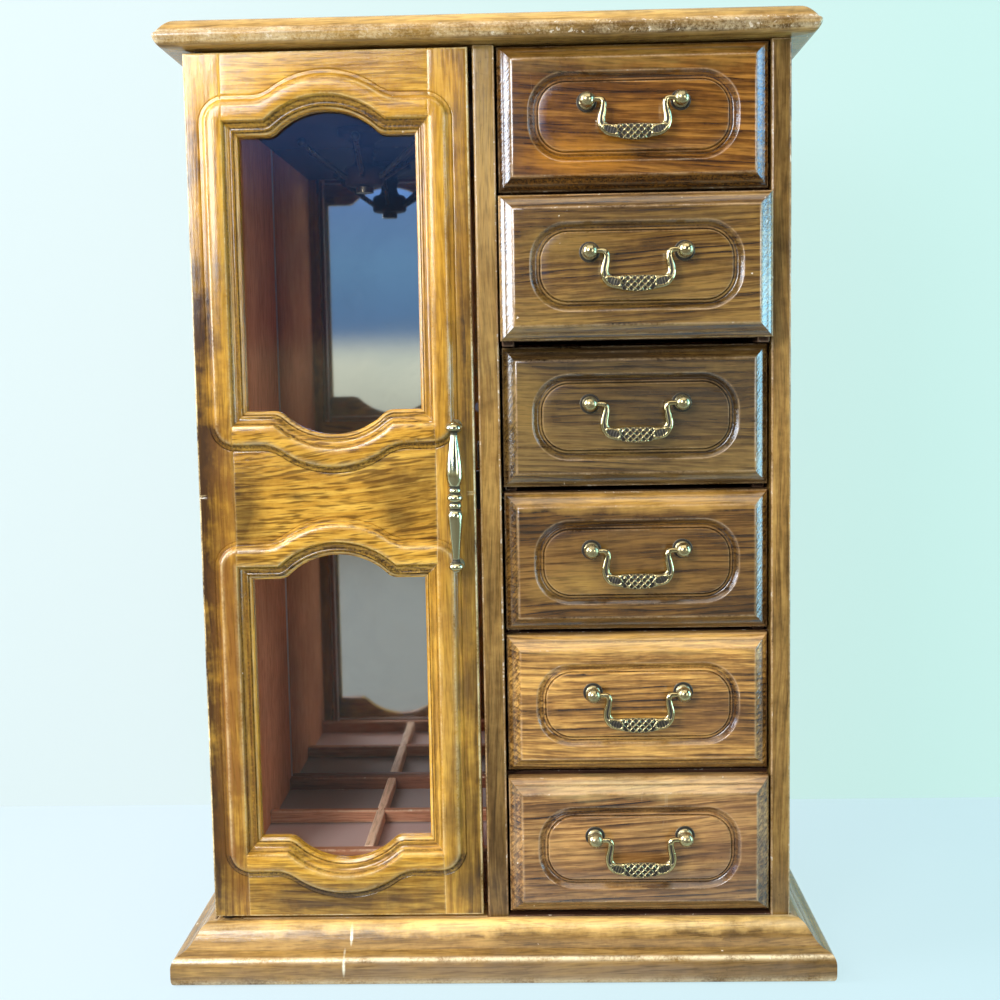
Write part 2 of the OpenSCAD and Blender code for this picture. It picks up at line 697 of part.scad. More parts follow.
// Draws a drawer's pieces in the shut place and moves them to the stored pose.
module drawer_placed(k) {
    placed() translate([0, -stand_out[k - 1], 0]) children();
}
module drawer_front(k) {
    e = front_edge();
    function across(half) = concat(
        [for (p = e) [half - p[0], front_recess - p[1]]],
        [for (i = [len(e) - 1:-1:0]) [e[i][0] - half, front_recess - e[i][1]]],
        [[-half, box_y], [half, box_y]]);
    zc = front_z(k) + front_h / 2;
    color(walnut) drawer_placed(k) translate([bay_x, 0, 0]) difference() {
        intersection() {
            translate([0, 0, zc - front_h / 2]) linear_extrude(front_h) polygon(across(front_w / 2));
            translate([-front_w / 2, 0, zc]) rotate([90, 0, 90]) linear_extrude(front_w)
                polygon([for (p = across(front_h / 2)) [p[1], p[0]]]);
        }
        translate([0, 0, zc]) upright(field_y - 1, field_y + groove_d) difference() {
            rounded(front_w - 2 * groove_end, front_h - 2 * groove_side, groove_r);
            rounded(front_w - 2 * groove_end - 2 * groove_w, front_h - 2 * groove_side - 2 * groove_w,
                groove_r - groove_w);
        }
        for (s = [-1, 1]) bar_y(s * post_spacing / 2, post_z(k), shank_r + turn_fit, field_y - 1, box_y + 1);
    }
}
module drawer_box(k) {
    z0 = drawer_z(k) + shelf_up + run_gap;
    x0 = bay_x0 + box_side_gap;
    x1 = bay_x1 - box_side_gap;
    y1 = back_y - box_back_gap;
    bottom = z0 + box_bottom_z;
    color(inner_red) drawer_placed(k) {
        box(x0, x0 + box_t, box_y, y1, z0, z0 + box_h);
        box(x1 - box_t, x1, box_y, y1, z0, z0 + box_h);
        box(x0 + box_t, x1 - box_t, y1 - box_t, y1, bottom, z0 + box_h);
        box(x0 + box_t, x1 - box_t, box_y, y1 - box_t, bottom, bottom + box_bottom_t);
    }
}
// One post with its ball, screw and nut, and the bail's blind hole towards the other post.
module post() {
    ball_y = field_y - ball_out;
    difference() {
        union() {
            bar_y(0, 0, rosette_r, field_y - 0.8, field_y);
            bar_y(0, 0, 0.7 * rosette_r, field_y - 1.5, field_y - 0.8);
            bar_y(0, 0, 0.55 * ball_r, ball_y, field_y - 1.5);
            translate([0, ball_y, 0]) sphere(r = ball_r);
            bar_y(0, 0, shank_r, field_y - 1, box_y + 1);
            bar_y(0, 0, 2 * shank_r, box_y, box_y + 2);
        }
        bar_x(ball_y, 0, bail_pin_r + bail_fit, -ball_r - 1, 0);
    }
}
module drawer_posts(k) {
    color(brass) drawer_placed(k) translate([bay_x, 0, post_z(k)])
        for (side = [0, 1]) mirror([side, 0, 0]) translate([post_spacing / 2, 0, 0]) post();
}
module drawer_bail(k) {
    ball_y = field_y - ball_out;
    low_z = -bail_drop - 1.2;
    grip_half = bail_low_half - 5.4;
    knuckle = 1.08 * bail_leg_r;
    color(brass) drawer_placed(k) translate([bay_x, ball_y, post_z(k)]) {
        for (s = [-1, 1]) {
            bar_x(0, 0, bail_pin_r, s < 0 ? face_gap - post_spacing / 2 : bail_top_half,
                s < 0 ? -bail_top_half : post_spacing / 2 - face_gap);
            translate([s * bail_top_half, 0, 0]) sphere(r = knuckle);
            rod([s * bail_top_half, 0], [s * bail_low_half, low_z], bail_leg_r);
            translate([s * bail_low_half, 0, low_z]) sphere(r = knuckle);
            rod([s * bail_low_half, low_z], [s * grip_half, low_z - grip_h / 2 + 1], bail_leg_r);
        }
        upright(-grip_t / 2, grip_t / 2) polygon(concat(
            bulge([-grip_half - 2, -bail_drop - grip_h], [grip_half + 2, -bail_drop - grip_h], -1.4, 8),
            [[grip_half + 2, -bail_drop - 0.6], [grip_half, -bail_drop],
             [-grip_half, -bail_drop], [-grip_half - 2, -bail_drop - 0.6]]));
    }
}

base_front_moulding();
base_left_moulding();
base_right_moulding();
bottom_board();
left_side_panel();
right_side_panel();
centre_partition();
top_board();
back_panel();
mirror_sheet();  // mirror
drawer_shelves();
door_sill();
compartment_floor();
floor_felt();
tray_front_rail();
tray_rear_rail();
tray_cross_divider();
tray_long_divider();
ceiling_board();
carousel_bolt();
magnet_catch();
door_pivot_pins();
door_left_stile();
door_right_stile();
door_top_rail();
door_middle_rail();
door_bottom_rail();
upper_glass();
lower_glass();
glass_retainers();
door_pull();
door_pull_screws();
catch_plate();
carousel_hub();
carousel_pegs();
for (k = [1:drawer_count]) {
    drawer_front(k);
    drawer_box(k);
    drawer_posts(k);
    drawer_bail(k);
}
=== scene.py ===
# Tabletop jewellery armoire: a carved glazed door beside six drawers, in amber and walnut stain.
import bmesh
import bpy
import numpy as np
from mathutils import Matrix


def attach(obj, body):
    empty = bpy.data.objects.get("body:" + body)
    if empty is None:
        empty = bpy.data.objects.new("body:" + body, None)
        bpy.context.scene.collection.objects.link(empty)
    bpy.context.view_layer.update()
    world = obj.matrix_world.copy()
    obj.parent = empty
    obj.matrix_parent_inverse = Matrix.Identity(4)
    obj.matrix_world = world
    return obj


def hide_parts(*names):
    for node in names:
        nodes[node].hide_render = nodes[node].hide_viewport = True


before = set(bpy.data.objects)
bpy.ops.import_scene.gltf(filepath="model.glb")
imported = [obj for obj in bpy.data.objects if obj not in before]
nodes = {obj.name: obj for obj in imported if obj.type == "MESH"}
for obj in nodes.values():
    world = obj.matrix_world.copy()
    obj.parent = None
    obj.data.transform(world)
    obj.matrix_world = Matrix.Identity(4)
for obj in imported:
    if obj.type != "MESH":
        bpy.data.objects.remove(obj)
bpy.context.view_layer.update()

# Sizes in millimetres. Y is measured from the plane of the stiles' front edges.
FRONT_Y = -57.65
HALF_W = 123.3
DEPTH = 132.0
BASE_H = 23.0
STILE_TOP = 388.4
PART_X0 = -5.9
BAY_X0 = 3.0
BAY_X1 = 115.1
ROOM_X0 = -112.3
BACK_Y = 129.0
MIRROR_Y = 127.0
PITCH = 60.7
SHELF_UP = 0.5
DRAWER_X = 59.05
DRAWER_OUT = [1.6, 13.9, 0.0, 0.0, 0.0, 4.5]
DOOR_X0 = -123.3
DOOR_X1 = -7.7
DOOR_Z0 = 25.0
DOOR_Z1 = 387.0
DOOR_Y0 = -3.0
DOOR_Y1 = 10.0
WINDOW_X = -66.0
WINDOW_Z = [115.1, 297.6]
WINDOWS_MEET = sum(WINDOW_Z) / 2
HINGE = (-118.3, 3.0)
HINGE_R = 7.0
SEAT_OUT = 4.6
SEAT_HALF = 70.6
SEAT_Y = 3.5
FRONT_GAP = 2.8
FRONT_Y0 = 4.0
POST_UP = 5.5
BAIL_SIDE = 18.9
BOX_GAP = 1.4
RUN_GAP = 0.2


def drawer_z(k):
    """Height of drawer k's place, counted from the top one, 1, to the lowest, 6."""
    return BASE_H + (6 - k) * PITCH


# Surfaces

def quads(rows, cols, around=False):
    """Faces of a grid of rows by cols points, one quad between each four neighbours. around joins the last
    column to the first."""
    i = np.arange(rows - 1)[:, None]
    j = np.arange(cols if around else cols - 1)[None, :]
    a = i * cols + j
    b = i * cols + (j + 1) % cols
    return np.stack([a, b, b + cols, a + cols], -1).reshape(-1, 4)


def loft(rings, ends=None):
    """A skin over closed rings, (ring, point, xyz). ends gives one more ring at each end, shrunk to a
    point."""
    if ends is not None:
        first = np.broadcast_to(ends[0], rings[:1].shape)
        last = np.broadcast_to(ends[1], rings[:1].shape)
        rings = np.concatenate([first, rings, last])
    return rings.reshape(-1, 3), quads(rings.shape[0], rings.shape[1], True)


def slab(front, back):
    """Two sheets on the same grid, joined by walls along their four edges."""
    rows, cols = front.shape[:2]
    n = rows * cols
    index = np.arange(n).reshape(rows, cols)
    edge = np.concatenate([index[0], index[1:, -1], index[-1, -2::-1], index[-2:0:-1, 0]])
    nxt = np.roll(edge, -1)
    sheet = quads(rows, cols)
    wall = np.stack([edge, nxt, nxt + n, edge + n], -1)
    points = np.concatenate([front.reshape(-1, 3), back.reshape(-1, 3)])
    return points, np.concatenate([sheet, sheet[:, ::-1] + n, wall])


def spline(points, per=6):
    """Catmull-Rom curve: each span is the cubic whose end slopes are half the chord of its neighbours."""
    p = np.asarray(points, float)
    q = np.vstack([2 * p[0] - p[1], p, 2 * p[-1] - p[-2]])
    t = np.linspace(0, 1, per, endpoint=False)[None, :, None]
    a, b, c, d = (q[k:len(q) - 3 + k, None, :] for k in range(4))
    span = 2 * b + (c - a) * t + (2 * a - 5 * b + 4 * c - d) * t ** 2 + (3 * b - a - 3 * c + d) * t ** 3
    return np.vstack([0.5 * span.reshape(-1, p.shape[1]), p[-1:]])


def along(line, share):
    """Points at the given shares of a polyline's length, by linear interpolation on its running length."""
    line = np.asarray(line, float)
    run = np.concatenate([[0.0], np.cumsum(np.linalg.norm(np.diff(line, axis=0), axis=1))])
    return np.stack([np.interp(share * run[-1], run, line[:, k]) for k in range(line.shape[1])], -1)


def whole_ring(quarter):
    """A closed ring from its upper right quarter, mirrored in both axes."""
    lower, left, upper = ([1, -1] * quarter)[-2::-1], ([-1, -1] * quarter)[1:], ([-1, 1] * quarter)[-2:0:-1]
    return np.concatenate([quarter, lower, left, upper])


def bump_at(x, places, widths, heights):
    """Sum of bell curves: each height times exp(-((x - place) / width) squared)."""
    x = np.asarray(x, float)[..., None]
    return (np.array(heights) * np.exp(-((x - np.array(places)) / np.array(widths)) ** 2)).sum(-1)


def board(lo, hi, r=0.6):
    """A board with rounded edges: a box's skin, each point pulled to distance r from the box shrunk by r."""
    lo, hi = np.array(lo, float), np.array(hi, float)
    r = min(r, 0.3 * (hi - lo).min())
    inset = np.array([0, 0.12, 0.3, 0.6, 1.0, 2.2]) * r
    lines = []
    for a, b in zip(lo, hi):
        left = a + inset[inset < (b - a) / 2]
        right = b - inset[inset < (b - a) / 2]
        lines.append(np.unique(np.concatenate([left, right])))
    points, faces, count = [], [], 0
    for axis in range(3):
        u, v = [k for k in range(3) if k != axis]
        gu, gv = np.meshgrid(lines[u], lines[v], indexing="ij")
        for side in (lo[axis], hi[axis]):
            p = np.empty(gu.shape + (3,))
            p[..., axis], p[..., u], p[..., v] = side, gu, gv
            points.append(p.reshape(-1, 3))
            faces.append(quads(*gu.shape) + count)
            count += gu.size
    p = np.concatenate(points)
    core = np.clip(p, lo + r, hi - r)
    out = p - core
    length = np.linalg.norm(out, axis=1)
    rubbed = ((np.abs(out) > 0.05 * r).sum(1) > 1).astype(float)
    return core + out * (r / np.maximum(length, 1e-9))[:, None], np.concatenate(faces), rubbed


def boards(*sizes, r=0.6):
    """Several boards in one list of skins."""
    return [board(lo, hi, r) for lo, hi in sizes]


def along_plan(line, count):
    """A polyline cut anew into even steps, measured on its first two columns."""
    run = np.concatenate([[0], np.cumsum(np.linalg.norm(np.diff(line[:, :2], axis=0), axis=1))])
    even = np.linspace(0, run[-1], count)
    return np.stack([np.interp(even, run, column) for column in line.T], -1)


def lathe(outline, centre, axis, steps=40):
    """A turned form: the outline's radius swept about the axis, at its height along the axis."""
    axis = np.array(axis, float)
    side = np.array([1.0, 0, 0]) if abs(axis[0]) < 0.5 else np.array([0, 1.0, 0])
    other = np.cross(axis, side)
    turn = np.linspace(0, 2 * np.pi, steps, endpoint=False)
    circle = np.cos(turn)[:, None] * side + np.sin(turn)[:, None] * other
    outline = np.asarray(outline, float)
    rings = np.array(centre) + outline[:, 1, None, None] * axis + outline[:, 0, None, None] * circle
    return loft(rings)


def tube(path, radius, steps=12):
    """A round bar along a polyline, with each ring square to the path and shrunk ends."""
    path = np.asarray(path, float)
    ahead = np.gradient(path, axis=0)
    ahead /= np.linalg.norm(ahead, axis=1)[:, None]
    side = np.cross(ahead, [0, 0, 1.0])
    side /= np.linalg.norm(side, axis=1)[:, None]
    other = np.cross(ahead, side)
    turn = np.linspace(0, 2 * np.pi, steps, endpoint=False)
    radius = np.broadcast_to(radius, len(path))[:, None, None]
    circle = np.cos(turn)[:, None] * side[:, None] + np.sin(turn)[:, None] * other[:, None]
    rings = path[:, None] + radius * circle
    return loft(rings, (path[0], path[-1]))


def weld(skins):
    """Joins skins into one mesh: places rounded to 2 microns are merged, and faces that lose a corner
    become triangles. A skin is (points, faces), with wear and hollow values of its points after them where
    it has any."""
    faces, count = [], 0
    for skin in skins:
        faces.append(skin[1] + count)
        count += len(skin[0])
    points = np.concatenate([skin[0] for skin in skins])
    worn, deep = (np.concatenate([skin[k] if len(skin) > k else np.zeros(len(skin[0])) for skin in skins])
                  for k in (2, 3))
    key = np.round(points / 0.002 + 0.31).astype(np.int64)
    _, first, back = np.unique(key, axis=0, return_index=True, return_inverse=True)
    faces = back.reshape(-1)[np.concatenate(faces)]
    keep = faces != np.roll(faces, 1, axis=1)
    keep &= ~((faces[:, :1] == faces[:, 2:3]) | (faces[:, 1:2] == faces[:, 3:4]))
    corners = keep.sum(1)
    four = faces[corners == 4]
    three = faces[corners == 3][keep[corners == 3]].reshape(-1, 3)
    return points[first], four, three, worn[first], deep[first]


def make(name, body, skins, finish, replaced, sharp=32.0, drop=None, lining=None):
    """Builds one piece from skins in millimetres and sets it on its body. drop(points) marks points whose
    faces are left out. lining is a second finish and the x of the face that has it. Edges over sharp
    degrees stay sharp."""
    points, four, three, worn, deep = weld(skins)
    if drop is not None:
        gone = drop(points)
        four = four[~gone[four].all(1)]
        three = three[~gone[three].all(1)]
    mesh = bpy.data.meshes.new(name)
    place = (points + np.array([0, FRONT_Y, 0])) * 0.001
    mesh.from_pydata(place.tolist(), [], four.tolist() + three.tolist())
    for label, values in (("wear", worn), ("hollow_and_shade", deep)):
        mesh.attributes.new(label, "FLOAT", "POINT").data.foreach_set("value", values.astype(np.float32))
    shape = bmesh.new()
    shape.from_mesh(mesh)
    bmesh.ops.recalc_face_normals(shape, faces=shape.faces)
    shape.to_mesh(mesh)
    shape.free()
    mesh.shade_smooth()
    mesh.set_sharp_from_angle(angle=np.radians(sharp))
    mesh.materials.append(finish)
    if lining:
        mesh.materials.append(lining[0])
        at_face = np.abs(points[:, 0] - lining[1]) < 0.05
        index = np.concatenate([at_face[four].all(1), at_face[three].all(1)]).astype(np.int32)
        mesh.polygons.foreach_set("material_index", index)
    piece = bpy.data.objects.new(name, mesh)
    bpy.context.scene.collection.objects.link(piece)
    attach(piece, body)
    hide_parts(*replaced)


# Shader nodes

class Field:
    """An output of a shader node. Arithmetic on it places maths nodes."""

    def __init__(self, socket):
        self.socket = socket
        self.tree = socket.id_data

    def __add__(self, other):
        return calc("ADD", self, other)

    def __sub__(self, other):
        return calc("SUBTRACT", self, other)

    def __rsub__(self, other):
        return calc("SUBTRACT", other, self)

    def __mul__(self, other):
        return calc("MULTIPLY", self, other)

    __radd__ = __add__
    __rmul__ = __mul__


def put(tree, kind, inputs=(), **settings):
    """Adds a node and gives its outputs by name and by number. An input is a field to join or a constant."""
    node = tree.nodes.new("ShaderNode" + kind)
    for key, value in settings.items():
        setattr(node, key, value)
    for key, value in dict(inputs).items():
        if isinstance(value, Field):
            tree.links.new(value.socket, node.inputs[key])
        else:
            node.inputs[key].default_value = value
    fields = [Field(socket) for socket in node.outputs]
    return {**{field.socket.name: field for field in fields}, **dict(enumerate(fields))}


def calc(operation, *values, clamp=False):
    """One maths node, in the tree of its first field."""
    tree = next(value.tree for value in values if isinstance(value, Field))
    return put(tree, "Math", dict(enumerate(values)), operation=operation, use_clamp=clamp)[0]


def vectors(operation, *values):
    """One vector maths node: its outputs."""
    return put(values[0].tree, "VectorMath", dict(enumerate(values)), operation=operation)


def stretch(vector, x, y, z):
    """A point scaled along each axis."""
    return vectors("MULTIPLY", vector, (x, y, z))[0]


def part_of(vector, axis):
    """One part of a point: X, Y or Z."""
    return put(vector.tree, "SeparateXYZ", {"Vector": vector})[axis]


def rgb(colour):
    """A colour for a socket: a field as it is, three linear numbers with full alpha."""
    return colour if isinstance(colour, Field) else (*colour, 1.0)


def shade(colour, share):
    """A colour made darker."""
    return tuple(share * c for c in colour)


def mix(share, a, b):
    """Colour a with a share of b over it."""
    return put(share.tree, "Mix", {0: share, 6: rgb(a), 7: rgb(b)}, data_type="RGBA")[2]


def step(value, low, high):
    """0 below low, 1 above high, straight between."""
    return put(value.tree, "MapRange", {"Value": value, "From Min": low, "From Max": high})[0]


def noise(vector, scale, detail=4.0, rough=0.55, warp=0.0, out=0):
    """Fractal noise from 0 to 1, or as a colour with out=1."""
    inputs = {"Vector": vector, "Scale": scale, "Detail": detail, "Roughness": rough, "Distortion": warp}
    return put(vector.tree, "TexNoise", inputs)[out]


def bump(height, strength, distance):
    """A normal tilted by the slope of a height."""
    return put(height.tree, "Bump", {"Strength": strength, "Distance": distance, "Height": height})[0]


def attribute(tree, name):
    """A value kept on the mesh's points."""
    return put(tree, "Attribute", attribute_name=name)["Fac"]


def new_group(name, inputs):
    """A node group with a Vector input, float inputs with these values, and its inputs as fields."""
    tree = bpy.data.node_groups.new(name, "ShaderNodeTree")
    tree.interface.new_socket("Vector", in_out="INPUT", socket_type="NodeSocketVector")
    for label, value in inputs.items():
        socket = tree.interface.new_socket(label, in_out="INPUT", socket_type="NodeSocketFloat")
        socket.default_value = value
    entry = tree.nodes.new("NodeGroupInput")
    return tree, {socket.name: Field(socket) for socket in entry.outputs}


def end_group(tree, outputs):
    """Gives a group its float outputs."""
    for label in outputs:
        tree.interface.new_socket(label, in_out="OUTPUT", socket_type="NodeSocketFloat")
    leave = tree.nodes.new("NodeGroupOutput")
    for label, field in outputs.items():
        tree.links.new(field.socket, leave.inputs[label])
    return tree


def grain_group():
    """Wood figure with the grain along Z: broad bands, growth lines, fine streaks, open pores and short
    dashes, all waved by slow noise."""
    tree, given = new_group("wood_grain", {"Rings": 90.0, "Wave": 0.016})
    slow = noise(stretch(given["Vector"], 1, 1, 0.35), 16.0, 2.0, 0.5, out=1)
    away = vectors("SUBTRACT", slow, (0.5, 0.5, 0.5))[0]
    shift = put(tree, "VectorMath", {0: away, "Scale": given["Wave"]}, operation="SCALE")[0]
    bent = vectors("ADD", given["Vector"], shift)[0]
    ring = put(tree, "TexWave", {"Vector": stretch(bent, 1, 1, 0.09), "Scale": given["Rings"], "Distortion": 3.0,
                                 "Detail": 3.0, "Detail Scale": 2.2},
               wave_type="RINGS", rings_direction="Z", wave_profile="SAW")[1]
    late = step(ring, 1.0, 0.45)
    strong = step(noise(stretch(bent, 1, 1, 0.10), 120.0, 2.0), 0.30, 0.66)
    lines = step(noise(stretch(bent, 1, 1, 0.055), 420.0, 4.0, 0.6), 0.36, 0.62)
    return end_group(tree, {
        "Broad": noise(stretch(bent, 1, 1, 0.12), 40.0, 3.0),
        "Ring": lines * 0.45 + (1.0 - (1.0 - late) * strong) * 0.55,
        "Streak": noise(stretch(bent, 1, 1, 0.040), 1100.0, 5.0, 0.65),
        "Pore": step(noise(stretch(bent, 1, 1, 0.022), 2300.0, 2.0, 0.5), 0.60, 0.72),
        "Dash": step(noise(stretch(bent, 1, 1, 0.08), 1150.0, 1.0, 0.4), 0.49, 0.64)})


def ragged_cells(vector, jitter_scale, jitter, scale):
    """A cell pattern on points shaken by noise: each cell's distance and random colour."""
    shaken = vectors("MULTIPLY_ADD", noise(vector, jitter_scale, 2.0, 0.5, out=1), (jitter,) * 3, vector)[0]
    cell = put(vector.tree, "TexVoronoi", {"Vector": shaken, "Scale": scale})
    return cell["Distance"], put(vector.tree, "SeparateColor", {"Color": cell["Color"]})


def wear_and_shade_group():
    """Rubbed edges, small chips, and grime with painted shade: the wear and hollow attributes broken up by noise
    and a cell pattern. On the wood the hollow attribute also marks faces turned down and lower edges, so the
    dark it gives is partly painted shade."""
    tree, given = new_group("edge_wear_and_shade", {"Amount": 0.5, "Chips": 0.5})
    wear = attribute(tree, "wear")
    coarse = noise(given["Vector"], 70.0, 3.0)
    fine = noise(given["Vector"], 900.0, 3.0, 0.7)
    rubbed = step(coarse * 0.9 + fine * 0.7 + given["Amount"] * 0.5, 0.86, 1.18)
    distance, pick = ragged_cells(given["Vector"], 650.0, 0.0045, 380.0)
    dot = calc("LESS_THAN", distance + (fine - 0.5) * 0.7, pick[0] * 0.36)
    rare = step(coarse + given["Chips"] * 0.3, 0.62, 0.72)
    return end_group(tree, {
        "Rubbed": calc("MULTIPLY", rubbed, wear, clamp=True),
        "Chip": calc("MULTIPLY", dot * rare, step(wear, 0.25, 0.8), clamp=True),
        # The hollow attribute broken by noise: grime in recesses, and painted shade on faces turned down and
        # lower edges.
        "Grime_and_shade": calc("MULTIPLY", attribute(tree, "hollow_and_shade"), step(fine, 0.15, 0.6), clamp=True)})


def speck_group():
    """Sparse pale specks and fine scratches: a few small cells out of many, and thin ridges of stretched
    noise."""
    tree, given = new_group("specks", {"Amount": 0.5})
    distance, pick = ragged_cells(given["Vector"], 1400.0, 0.0016, 330.0)
    small = calc("LESS_THAN", distance, pick[0] * 0.15)
    area = noise(given["Vector"], 26.0, 2.0)
    rare = calc("GREATER_THAN", pick[1] + area * given["Amount"], 1.25)
    thin = noise(stretch(given["Vector"], 1.0, 1.0, 0.12), 130.0, 1.0, 0.5, 0.4)
    line = step(calc("ABSOLUTE", thin - 0.5), 0.006, 0.0)
    return end_group(tree, {"Speck": small * rare, "Scratch": line * step(area, 0.66, 0.72)})


GRAIN = grain_group()
WEAR_AND_SHADE = wear_and_shade_group()
SPECKS = speck_group()
TURN = {"z": (0.0, 0.0, 0.0), "x": (0.0, np.pi / 2, 0.0), "y": (np.pi / 2, 0.0, 0.0)}


def new_material(name):
    """An empty material, its node tree and the object's coordinates."""
    material = bpy.data.materials.new(name)
    material.use_nodes = True
    tree = material.node_tree
    tree.nodes.clear()
    return material, tree, put(tree, "TexCoord")["Object"]


def surface(material, inputs):
    """Ends a material with one Principled shader."""
    shader = put(material.node_tree, "BsdfPrincipled", inputs)["BSDF"]
    put(material.node_tree, "OutputMaterial", {"Surface": shader})
    return material


def ellipse(coords, uneven, x, z, wide, high):
    """1 at a place on the front, falling to 0 at the uneven rim of an ellipse. The sizes are in
    millimetres."""
    away = vectors("SUBTRACT", coords, (x * 0.001, 0, z * 0.001))[0]
    reach = vectors("LENGTH", stretch(away, 1000 / wide, 0.0, 1000 / high))["Value"]
    return step(reach + uneven, 1.0, 0.25)


def outer_bevel(tree, coords):
    """1 on the faces of a drawer front that slope sideways near its left and right edges."""
    facing = calc("ABSOLUTE", part_of(put(tree, "TexCoord")["Normal"], "X"))
    from_middle = calc("ABSOLUTE", part_of(coords, "X") - DRAWER_X * 0.001)
    return step(facing, 0.35, 0.55) * step(from_middle, 0.0455, 0.0475)


def wood(name, grain, dark, mid, pale, bare, rough=0.40, coat=0.8, rings=90.0, wear=0.5, chips=0.5, toning=0.5,
         centre=(0.0, 0.0, 0.0), tilt=0.0, specks=0.5, figure=1.0, mottle=0.3, stains_and_painted_light=(), scuffs=(), sheen=0.0,
         comb=0.0, dashes=0.3, wave=0.016, coat_ior=1.5, calm=None):
    """Stained and lacquered wood: dark to pale by bands, rings and streaks, darker toning patches, bare wood on
    rubbed edges, and near-black grime and painted shade where the hollow attribute is high. stains are (x, z,
    width, height, colour, share) on the front: patches of real stain, with some painted shade and painted
    highlights among them. scuffs (x, z, width, height, share) have more chips. comb is the height of saw marks
    on a drawer's outer bevels. Behind the depth named by calm the patches fade."""
    material, tree, coords = new_material(name)
    turned = tuple(np.add(TURN[grain], (tilt, 0.6 * tilt, 0.0)))
    place = put(tree, "Mapping", {"Vector": coords, "Location": centre, "Rotation": turned})[0]
    uneven = (noise(coords, 60.0, 4.0, 0.6) - 0.5) * 1.6
    for x, z, wide, high, share in scuffs:
        chips = ellipse(coords, uneven, x, z, wide, high) * share + chips
    figured = put(tree, "Group", {"Vector": place, "Rings": rings, "Wave": wave}, node_tree=GRAIN)
    worn = put(tree, "Group", {"Vector": coords, "Amount": wear, "Chips": chips}, node_tree=WEAR_AND_SHADE)
    spot = put(tree, "Group", {"Vector": coords, "Amount": specks}, node_tree=SPECKS)
    middle = 0.98
    level = figured["Broad"] * 0.80 + figured["Ring"] * 0.55 + figured["Streak"] * 0.50
    level = (level - middle) * figure + middle
    small = (noise(coords, 170.0, 4.0, 0.65) - 0.5) * mottle
    patch = step(noise(coords, 13.0, 4.0, 0.6), 0.44, 0.74)
    if calm:
        share = step(part_of(coords, "Y"), calm, calm - 0.003) * 0.8 + 0.2
        small = small * share
        patch = patch * share
    level = level + small
    layers = [(step(level, 0.62, middle), mid), (step(level, middle, 1.34), pale),
              (patch * toning, shade(dark, 0.55))]
    through = 1.3 - figured["Ring"] * 0.65
    # Patches of real stain, with some painted shade and painted highlights among them.
    for x, z, wide, high, tint, share in stains_and_painted_light:
        mask = ellipse(coords, uneven, x, z, wide, high) * share
        layers.append((calc("MULTIPLY", mask, through, clamp=True), tint))
    flecks = step(noise(coords, 620.0, 4.0, 0.7), 0.60, 0.74) * (patch * 0.7)
    layers += [(flecks, shade(dark, 0.3)), (figured["Pore"] * 0.45, shade(dark, 0.35)),
               (figured["Dash"] * dashes, shade(dark, 0.5))]
    ripple = noise(coords, 520.0, 3.0) * 0.55
    if comb:
        slanted = put(tree, "Mapping", {"Vector": coords, "Rotation": (0.0, 0.95, 0.0)})[0]
        teeth = noise(stretch(slanted, 0.12, 0.1, 1.0), 1500.0, 2.0, 0.5) * outer_bevel(tree, coords)
        layers.append((step(teeth, 0.44, 0.62) * 0.6, shade(dark, 0.8)))
        ripple = ripple + teeth * comb
    # The near-black layer is grime and painted shade, from the hollow attribute.
    layers += [(worn["Grime_and_shade"] * 0.9, (0.012, 0.007, 0.004)), (worn["Rubbed"] * 0.75, bare),
               (calc("MAXIMUM", worn["Chip"], spot["Speck"]), (0.62, 0.50, 0.36)),
               (spot["Scratch"] * 0.2, (0.50, 0.38, 0.26))]
    colour = dark
    for share, tint in layers:
        colour = mix(share, colour, tint)
    gloss = rough - 0.08 + noise(coords, 40.0, 4.0) * 0.16 + worn["Grime_and_shade"] * 0.2 + worn["Rubbed"] * 0.12
    relief = figured["Streak"] * 0.7 + figured["Ring"] * 0.35 - figured["Pore"] * 0.6 - worn["Chip"] * 0.8
    film = ripple + noise(stretch(place, 1.0, 1.0, 0.04), 1100.0, 4.0, 0.65) * 0.9
    return surface(material, {
        "Base Color": colour, "Roughness": gloss, "Specular IOR Level": sheen, "Coat Weight": coat,
        "Coat Roughness": 0.15, "Coat IOR": coat_ior, "Normal": bump(relief + ripple, 0.4, 0.00018),
        "Coat Normal": bump(film, 0.4, 0.00018)})


BARE = (0.50, 0.31, 0.15)
DARK = (0.030, 0.014, 0.005)
OLD_GOLD = (0.40, 0.225, 0.045)
UMBER = (0.040, 0.022, 0.010)
SCRATCH = (0.85, 0.75, 0.52)


def tones(dark, mid, pale, bare=BARE):
    """The four colours of a stained wood."""
    return {"dark": dark, "mid": mid, "pale": pale, "bare": bare}


HONEY = tones((0.15, 0.056, 0.006), (0.44, 0.205, 0.020), (0.64, 0.35, 0.050), (0.80, 0.58, 0.27))
CASE = tones((0.055, 0.026, 0.007), (0.235, 0.118, 0.027), (0.40, 0.22, 0.056))
CASE_PALE = dict(CASE, bare=(0.80, 0.60, 0.34))
WALNUT = tones((0.022, 0.009, 0.003), (0.155, 0.064, 0.012), (0.36, 0.175, 0.036))
INNER = tones((0.36, 0.115, 0.045), (0.62, 0.25, 0.115), (0.70, 0.31, 0.15), (0.60, 0.32, 0.17))
NEAR_BLACK_SHADE = tones((0.020, 0.009, 0.008), (0.045, 0.020, 0.016), (0.07, 0.03, 0.022), (0.12, 0.07, 0.05))
RED = tones((0.10, 0.034, 0.018), (0.20, 0.072, 0.038), (0.28, 0.11, 0.06), (0.36, 0.2, 0.12))
BOX = tones((0.03, 0.012, 0.006), (0.075, 0.030, 0.014), (0.12, 0.05, 0.024), (0.2, 0.11, 0.06))
TRAY = tones((0.22, 0.075, 0.034), (0.42, 0.17, 0.085), (0.52, 0.25, 0.14), (0.6, 0.4, 0.25))
TAN = tones((0.46, 0.25, 0.14), (0.78, 0.50, 0.32), (0.85, 0.60, 0.42), (0.85, 0.65, 0.48))
